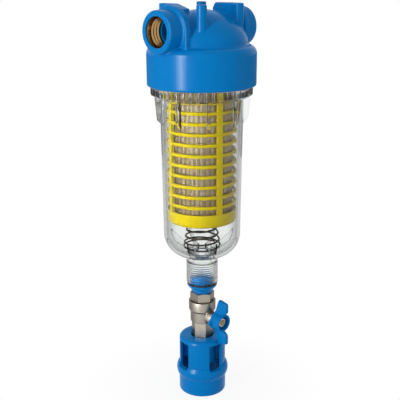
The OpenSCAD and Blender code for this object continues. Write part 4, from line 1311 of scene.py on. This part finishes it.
class FILTER_OT_valve_body(Operator):
    """Make the plated end cap and the plated valve body with its gland and hexagon"""

    bl_idname = "water_filter.valve_body"
    bl_label = "Valve body"

    def execute(self, context):
        sizes = context.scene.filter_valve
        piece("end_cap_plated", self.end_cap(sizes), "nickel_plated_brass", "bowl", "valve_end_cap")
        piece("valve_body_plated", self.body(sizes), "nickel_plated_brass", "bowl", "valve_body")
        return {"FINISHED"}

    def end_cap(self, sizes):
        chamfer, fine, past = 0.3 * MM, 0.3 * MM, 1 * MM
        low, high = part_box("valve_end_cap")
        seat_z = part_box("drain_adapter")[0].z - sizes.thread_gap
        spigot_r, spigot_top = sizes.cap_spigot_r, VALVE_TOP + past
        way_low, way_top = low.z - past, high.z + past
        form = lathed([(0, low.z), (spigot_r, low.z, fine), (spigot_r, spigot_top), (0, spigot_top)])
        form = combined(form, hexagon(sizes.cap_flats, VALVE_TOP, high.z, chamfer, sizes.cap_phase), "UNION")
        way = lathed([
            (0, way_low), (sizes.water_r, way_low), (sizes.water_r, seat_z), (sizes.cap_thread_r, seat_z),
            (sizes.cap_thread_r, way_top), (0, way_top),
        ])
        return combined(form, way, "DIFFERENCE")

    def body(self, sizes):
        fine, chamfer, bevel, sink = 0.4 * MM, 0.8 * MM, 0.3 * MM, 0.6 * MM
        hex_z = VALVE_TAIL + sizes.tail_h
        foot_z = VALVE_TOP - sizes.body_h
        foot_r = sizes.body_r - sizes.body_step
        band_z = VALVE_TOP - sizes.band_h
        form = lathed([
            (0, VALVE_TAIL), (sizes.tail_r, VALVE_TAIL, chamfer), (sizes.tail_r, foot_z),
            (foot_r, foot_z, chamfer), (foot_r, band_z - sizes.body_step_h, fine),
            (sizes.body_r, band_z, fine), (sizes.body_r, VALVE_TOP, fine), (0, VALVE_TOP),
        ])
        nut = hexagon(sizes.hex_flats, hex_z, foot_z + sink, bevel, sizes.hex_phase)
        gland = cylinder(sizes.gland_r, 0, sizes.gland_reach, chamfer, steps=64)
        for added in (nut, placed(gland, along_stem(0))):
            form = combined(form, added, "UNION")
        for bored in (self.waterway(sizes), self.stem_bore(sizes)):
            form = combined(form, bored, "DIFFERENCE")
        return form

    def waterway(self, sizes):
        """The waterway, with the room for the ball and its seats and the end cap's seat above it."""
        past = 1 * MM
        low, top = VALVE_TAIL - past, VALVE_TOP + past
        room_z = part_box("lower_ball_seat")[0].z
        spigot_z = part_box("valve_end_cap")[0].z
        spigot_r = sizes.cap_spigot_r + sizes.run_gap
        return lathed([
            (0, low), (sizes.water_r, low), (sizes.water_r, room_z), (sizes.room_r, room_z),
            (sizes.room_r, spigot_z), (spigot_r, spigot_z), (spigot_r, top), (0, top),
        ])

    def stem_bore(self, sizes):
        """The stem's bore, with room for its collar and a groove for its seals."""
        fine, past = 0.4 * MM, 1 * MM
        bore_r, groove_r, collar_r = sizes.stem_r + sizes.run_gap, sizes.stem_groove_r, sizes.stem_collar_r
        low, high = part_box("stem_o_rings")
        near, far = -high.y - fine, -low.y + fine
        shoulder, top = sizes.room_r + fine, sizes.gland_reach + past
        outline = [
            (0, 0), (collar_r, 0), (collar_r, shoulder), (bore_r, shoulder), (bore_r, near), (groove_r, near),
            (groove_r, far), (bore_r, far), (bore_r, top), (0, top),
        ]
        return placed(lathed(outline, steps=48), along_stem(0))


class FILTER_OT_valve_handle(Operator):
    """Make the wing handle with the stem and the nut that holds it"""

    bl_idname = "water_filter.valve_handle"
    bl_label = "Valve handle"

    def execute(self, context):
        sizes = context.scene.filter_valve
        piece("handle_moulding", self.handle(sizes), "blue_polypropylene", "valve_rotor", "valve_handle")
        piece("stem_turned", self.stem(sizes), "turned_brass", "valve_rotor", "valve_stem")
        piece("stem_nut_plated", self.nut(sizes), "zinc_plate", "valve_rotor", "stem_nut")
        return {"FINISHED"}

    def handle(self, sizes):
        fine, past = 0.5 * MM, 2 * MM
        hub = cylinder(sizes.hub_r, 0, sizes.hub_h, fine, steps=64)
        diamond = [(sizes.plate_w, 0), (0, sizes.plate_h), (-sizes.plate_w, 0), (0, -sizes.plate_h)]
        plate = extruded(diamond, sizes.plate_t, fine)
        form = combined(placed(hub, along_stem(HANDLE_Y)), placed(plate, along_stem(HANDLE_Y)), "UNION")
        form = combined(form, self.blade(sizes), "UNION")
        seat, top = sizes.hub_h - sizes.recess_d, WING_DEPTH + past
        hole_r = sizes.stem_r + sizes.run_gap
        hole = [
            (0, -past), (hole_r, -past), (hole_r, seat), (sizes.recess_r, seat, fine), (sizes.recess_r, top),
            (0, top),
        ]
        return combined(form, placed(lathed(hole, steps=64), along_stem(HANDLE_Y)), "DIFFERENCE")

    def blade(self, sizes):
        edge = 1.4 * MM
        back, lead, front_edge, sink = 5.4 * MM, 2.2 * MM, 12.4 * MM, 1 * MM
        hub = sizes.hub_r - sink
        half = [
            (0, hub), (back, WING_REACH), (WING_DEPTH, WING_REACH - lead),
            (WING_DEPTH, WING_REACH - front_edge), (sizes.hub_h - sink, hub),
        ]
        outline = half + [(depth, -height) for depth, height in half[::-1]]
        upright = Matrix((
            (0, 0, 1, -sizes.wing_t / 2), (-1, 0, 0, -HANDLE_Y), (0, 1, 0, STEM_Z), (0, 0, 0, 1),
        ))
        return tidied(placed(extruded(outline, sizes.wing_t, edge), upright))

    def stem(self, sizes):
        fine, pitch, depth, tang_share = 0.3 * MM, 0.8 * MM, 0.35 * MM, 0.45
        low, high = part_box("valve_stem")
        tang_r, collar_r = sizes.stem_r * tang_share, sizes.stem_collar_r - fine
        root_r = sizes.stem_tip_r - depth
        collar = -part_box("valve_ball")[0].y
        collar_top = collar + sizes.stem_collar_h
        shoulder = HANDLE_Y + sizes.hub_h - sizes.recess_d
        end, tip = -high.y, -low.y
        shaft = [
            (0, end), (tang_r, end), (tang_r, collar), (collar_r, collar), (collar_r, collar_top),
            (sizes.stem_r, collar_top), (sizes.stem_r, shoulder), (root_r, shoulder), (root_r, tip, fine),
            (0, tip),
        ]
        ridge = screw_ridge(root_r, pitch, (tip - shoulder) / pitch - 1, depth, shoulder + pitch / 2)
        return placed(gathered([lathed(shaft, steps=48), ridge]), along_stem(0))

    def nut(self, sizes):
        chamfer, past = 0.3 * MM, 1 * MM
        low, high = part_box("stem_nut")
        tall = high.y - low.y
        hole_r = sizes.stem_tip_r + sizes.run_gap
        nut = hexagon(sizes.nut_flats, 0, tall, chamfer, math.pi / 6)
        hole = [
            (0, -past), (hole_r, -past), (hole_r, tall - chamfer), (hole_r + 2 * chamfer, tall + chamfer),
            (0, tall + past),
        ]
        return placed(combined(nut, lathed(hole, steps=48), "DIFFERENCE"), along_stem(-high.y))


# Tundish


class FILTER_OT_tundish(Operator):
    """Make the windowed tundish that the valve stands in"""

    bl_idname = "water_filter.tundish"
    bl_label = "Tundish"

    def execute(self, context):
        sizes = context.scene.filter_tundish
        form = combined(self.shell(sizes), self.windows(sizes), "DIFFERENCE")
        form = combined(form, self.webs(sizes), "UNION")
        piece("tundish_moulding", form, "blue_polypropylene", "bowl", "tundish")
        return {"FINISHED"}

    def shell(self, sizes):
        fine, lead = 0.5 * MM, 1.2 * MM
        inner_r = sizes.cage_r - sizes.wall
        roof_z = TUNDISH_H - sizes.roof
        seat_z = TUNDISH_H - sizes.socket_d
        tail_r = sizes.tail_hole_r
        half = sizes.rib_h / 2
        curve_r = (half * half + sizes.rib_proud ** 2) / (2 * sizes.rib_proud)
        spread = math.asin(half / curve_r)
        rib_middle = (sizes.spigot_r + sizes.rib_proud - curve_r, sizes.spigot_h + half)
        rib = arc(curve_r, -spread, spread, steps=12, middle=rib_middle)
        return turned(
            [
                (inner_r, 0, fine), (sizes.spigot_r, 0, lead), *rib,
                (sizes.cage_r, sizes.spigot_h + sizes.rib_h), (sizes.cage_r, TUNDISH_H, sizes.shoulder),
                (sizes.socket_r, TUNDISH_H, fine), (sizes.socket_r, seat_z), (tail_r, seat_z),
                (tail_r, VALVE_TAIL), (sizes.nozzle_r, VALVE_TAIL), (sizes.nozzle_r, sizes.nozzle_z, fine),
                (sizes.collar_r, sizes.nozzle_z, fine), (sizes.collar_r, roof_z), (inner_r, roof_z, fine),
            ],
            steps=128,
        )

    def webs(self, sizes):
        sink, above = 0.8 * MM, 1 * MM
        half = sizes.web_t / 2
        outline = oblong(sizes.collar_r - sink, sizes.cage_r - sizes.wall + sink, -half, half)
        low, high = sizes.nozzle_z + above, TUNDISH_H - sizes.roof + above
        lift = Matrix.Translation((0, 0, low))
        return patterned(
            lambda: extruded(outline, high - low), sizes.window_count, sizes.window_phase, first=0.5,
            start=lift,
        )

    def windows(self, sizes):
        soft, past = 0.8 * MM, 3 * MM
        half = sizes.window_w / 2
        outline = oblong(sizes.window_low, TUNDISH_H - sizes.window_top, -half, half)
        outward = Matrix(((0, 0, 1, sizes.collar_r + past), (0, 1, 0, 0), (1, 0, 0, 0), (0, 0, 0, 1)))
        holes = patterned(
            lambda: extruded(outline, sizes.cage_r, soft), sizes.window_count, sizes.window_phase,
            start=outward,
        )
        return tidied(holes)


# Pieces that keep the frame's shape


class FILTER_OT_kept_pieces(Operator):
    """Give the seals, the ball, its seats and the top cap, which keep the frame's shape, their finishes"""

    bl_idname = "water_filter.kept_pieces"
    bl_label = "Seals, ball and top cap"

    def execute(self, context):
        seals = ("bowl_o_ring", "drain_gasket", "stem_o_rings", "cartridge_gasket", "outlet_o_ring")
        for name, nodes in (
            ("moulded_rubber", seals),
            ("turned_fluoropolymer", ("upper_ball_seat", "lower_ball_seat")),
            ("zinc_plate", ("valve_ball",)),
            ("yellow_polypropylene", ("cartridge_top_cap",)),
        ):
            for node in nodes:
                materials = frame["nodes"][node].data.materials
                materials.clear()
                materials.append(finish(name))
        return {"FINISHED"}


# Sidebar and registration


class FILTER_PT_sidebar(Panel):
    """The steps that build the filter"""

    bl_label = "Water filter"
    bl_idname = "FILTER_PT_sidebar"
    bl_space_type = "VIEW_3D"
    bl_region_type = "UI"
    bl_category = "Water filter"

    def draw(self, context):
        for step in STEPS:
            self.layout.operator(step.bl_idname)


# The stage comes last, because its gloss strip looks for the finished pieces.
STEPS = (
    FILTER_OT_head,
    FILTER_OT_port_inserts,
    FILTER_OT_bowl,
    FILTER_OT_cartridge,
    FILTER_OT_spring,
    FILTER_OT_drain_adapter,
    FILTER_OT_valve_body,
    FILTER_OT_valve_handle,
    FILTER_OT_tundish,
    FILTER_OT_kept_pieces,
    FILTER_OT_stage,
)
SETTINGS = {
    "filter_head": HeadSizes,
    "filter_bowl": BowlSizes,
    "filter_cartridge": CartridgeSizes,
    "filter_valve": ValveSizes,
    "filter_tundish": TundishSizes,
    "filter_finishes": Finishes,
    "filter_stage": StageSizes,
}


def register():
    for kind in (*SETTINGS.values(), *STEPS, FILTER_PT_sidebar):
        bpy.utils.register_class(kind)
    for name, kind in SETTINGS.items():
        setattr(bpy.types.Scene, name, PointerProperty(type=kind))


def unregister():
    for name in SETTINGS:
        delattr(bpy.types.Scene, name)
    for kind in (FILTER_PT_sidebar, *reversed(STEPS), *SETTINGS.values()):
        bpy.utils.unregister_class(kind)


def main():
    """Builds every piece in order."""
    register()
    for step in STEPS:
        group, name = step.bl_idname.split(".")
        getattr(getattr(bpy.ops, group), name)()


if __name__ == "__main__":
    main()
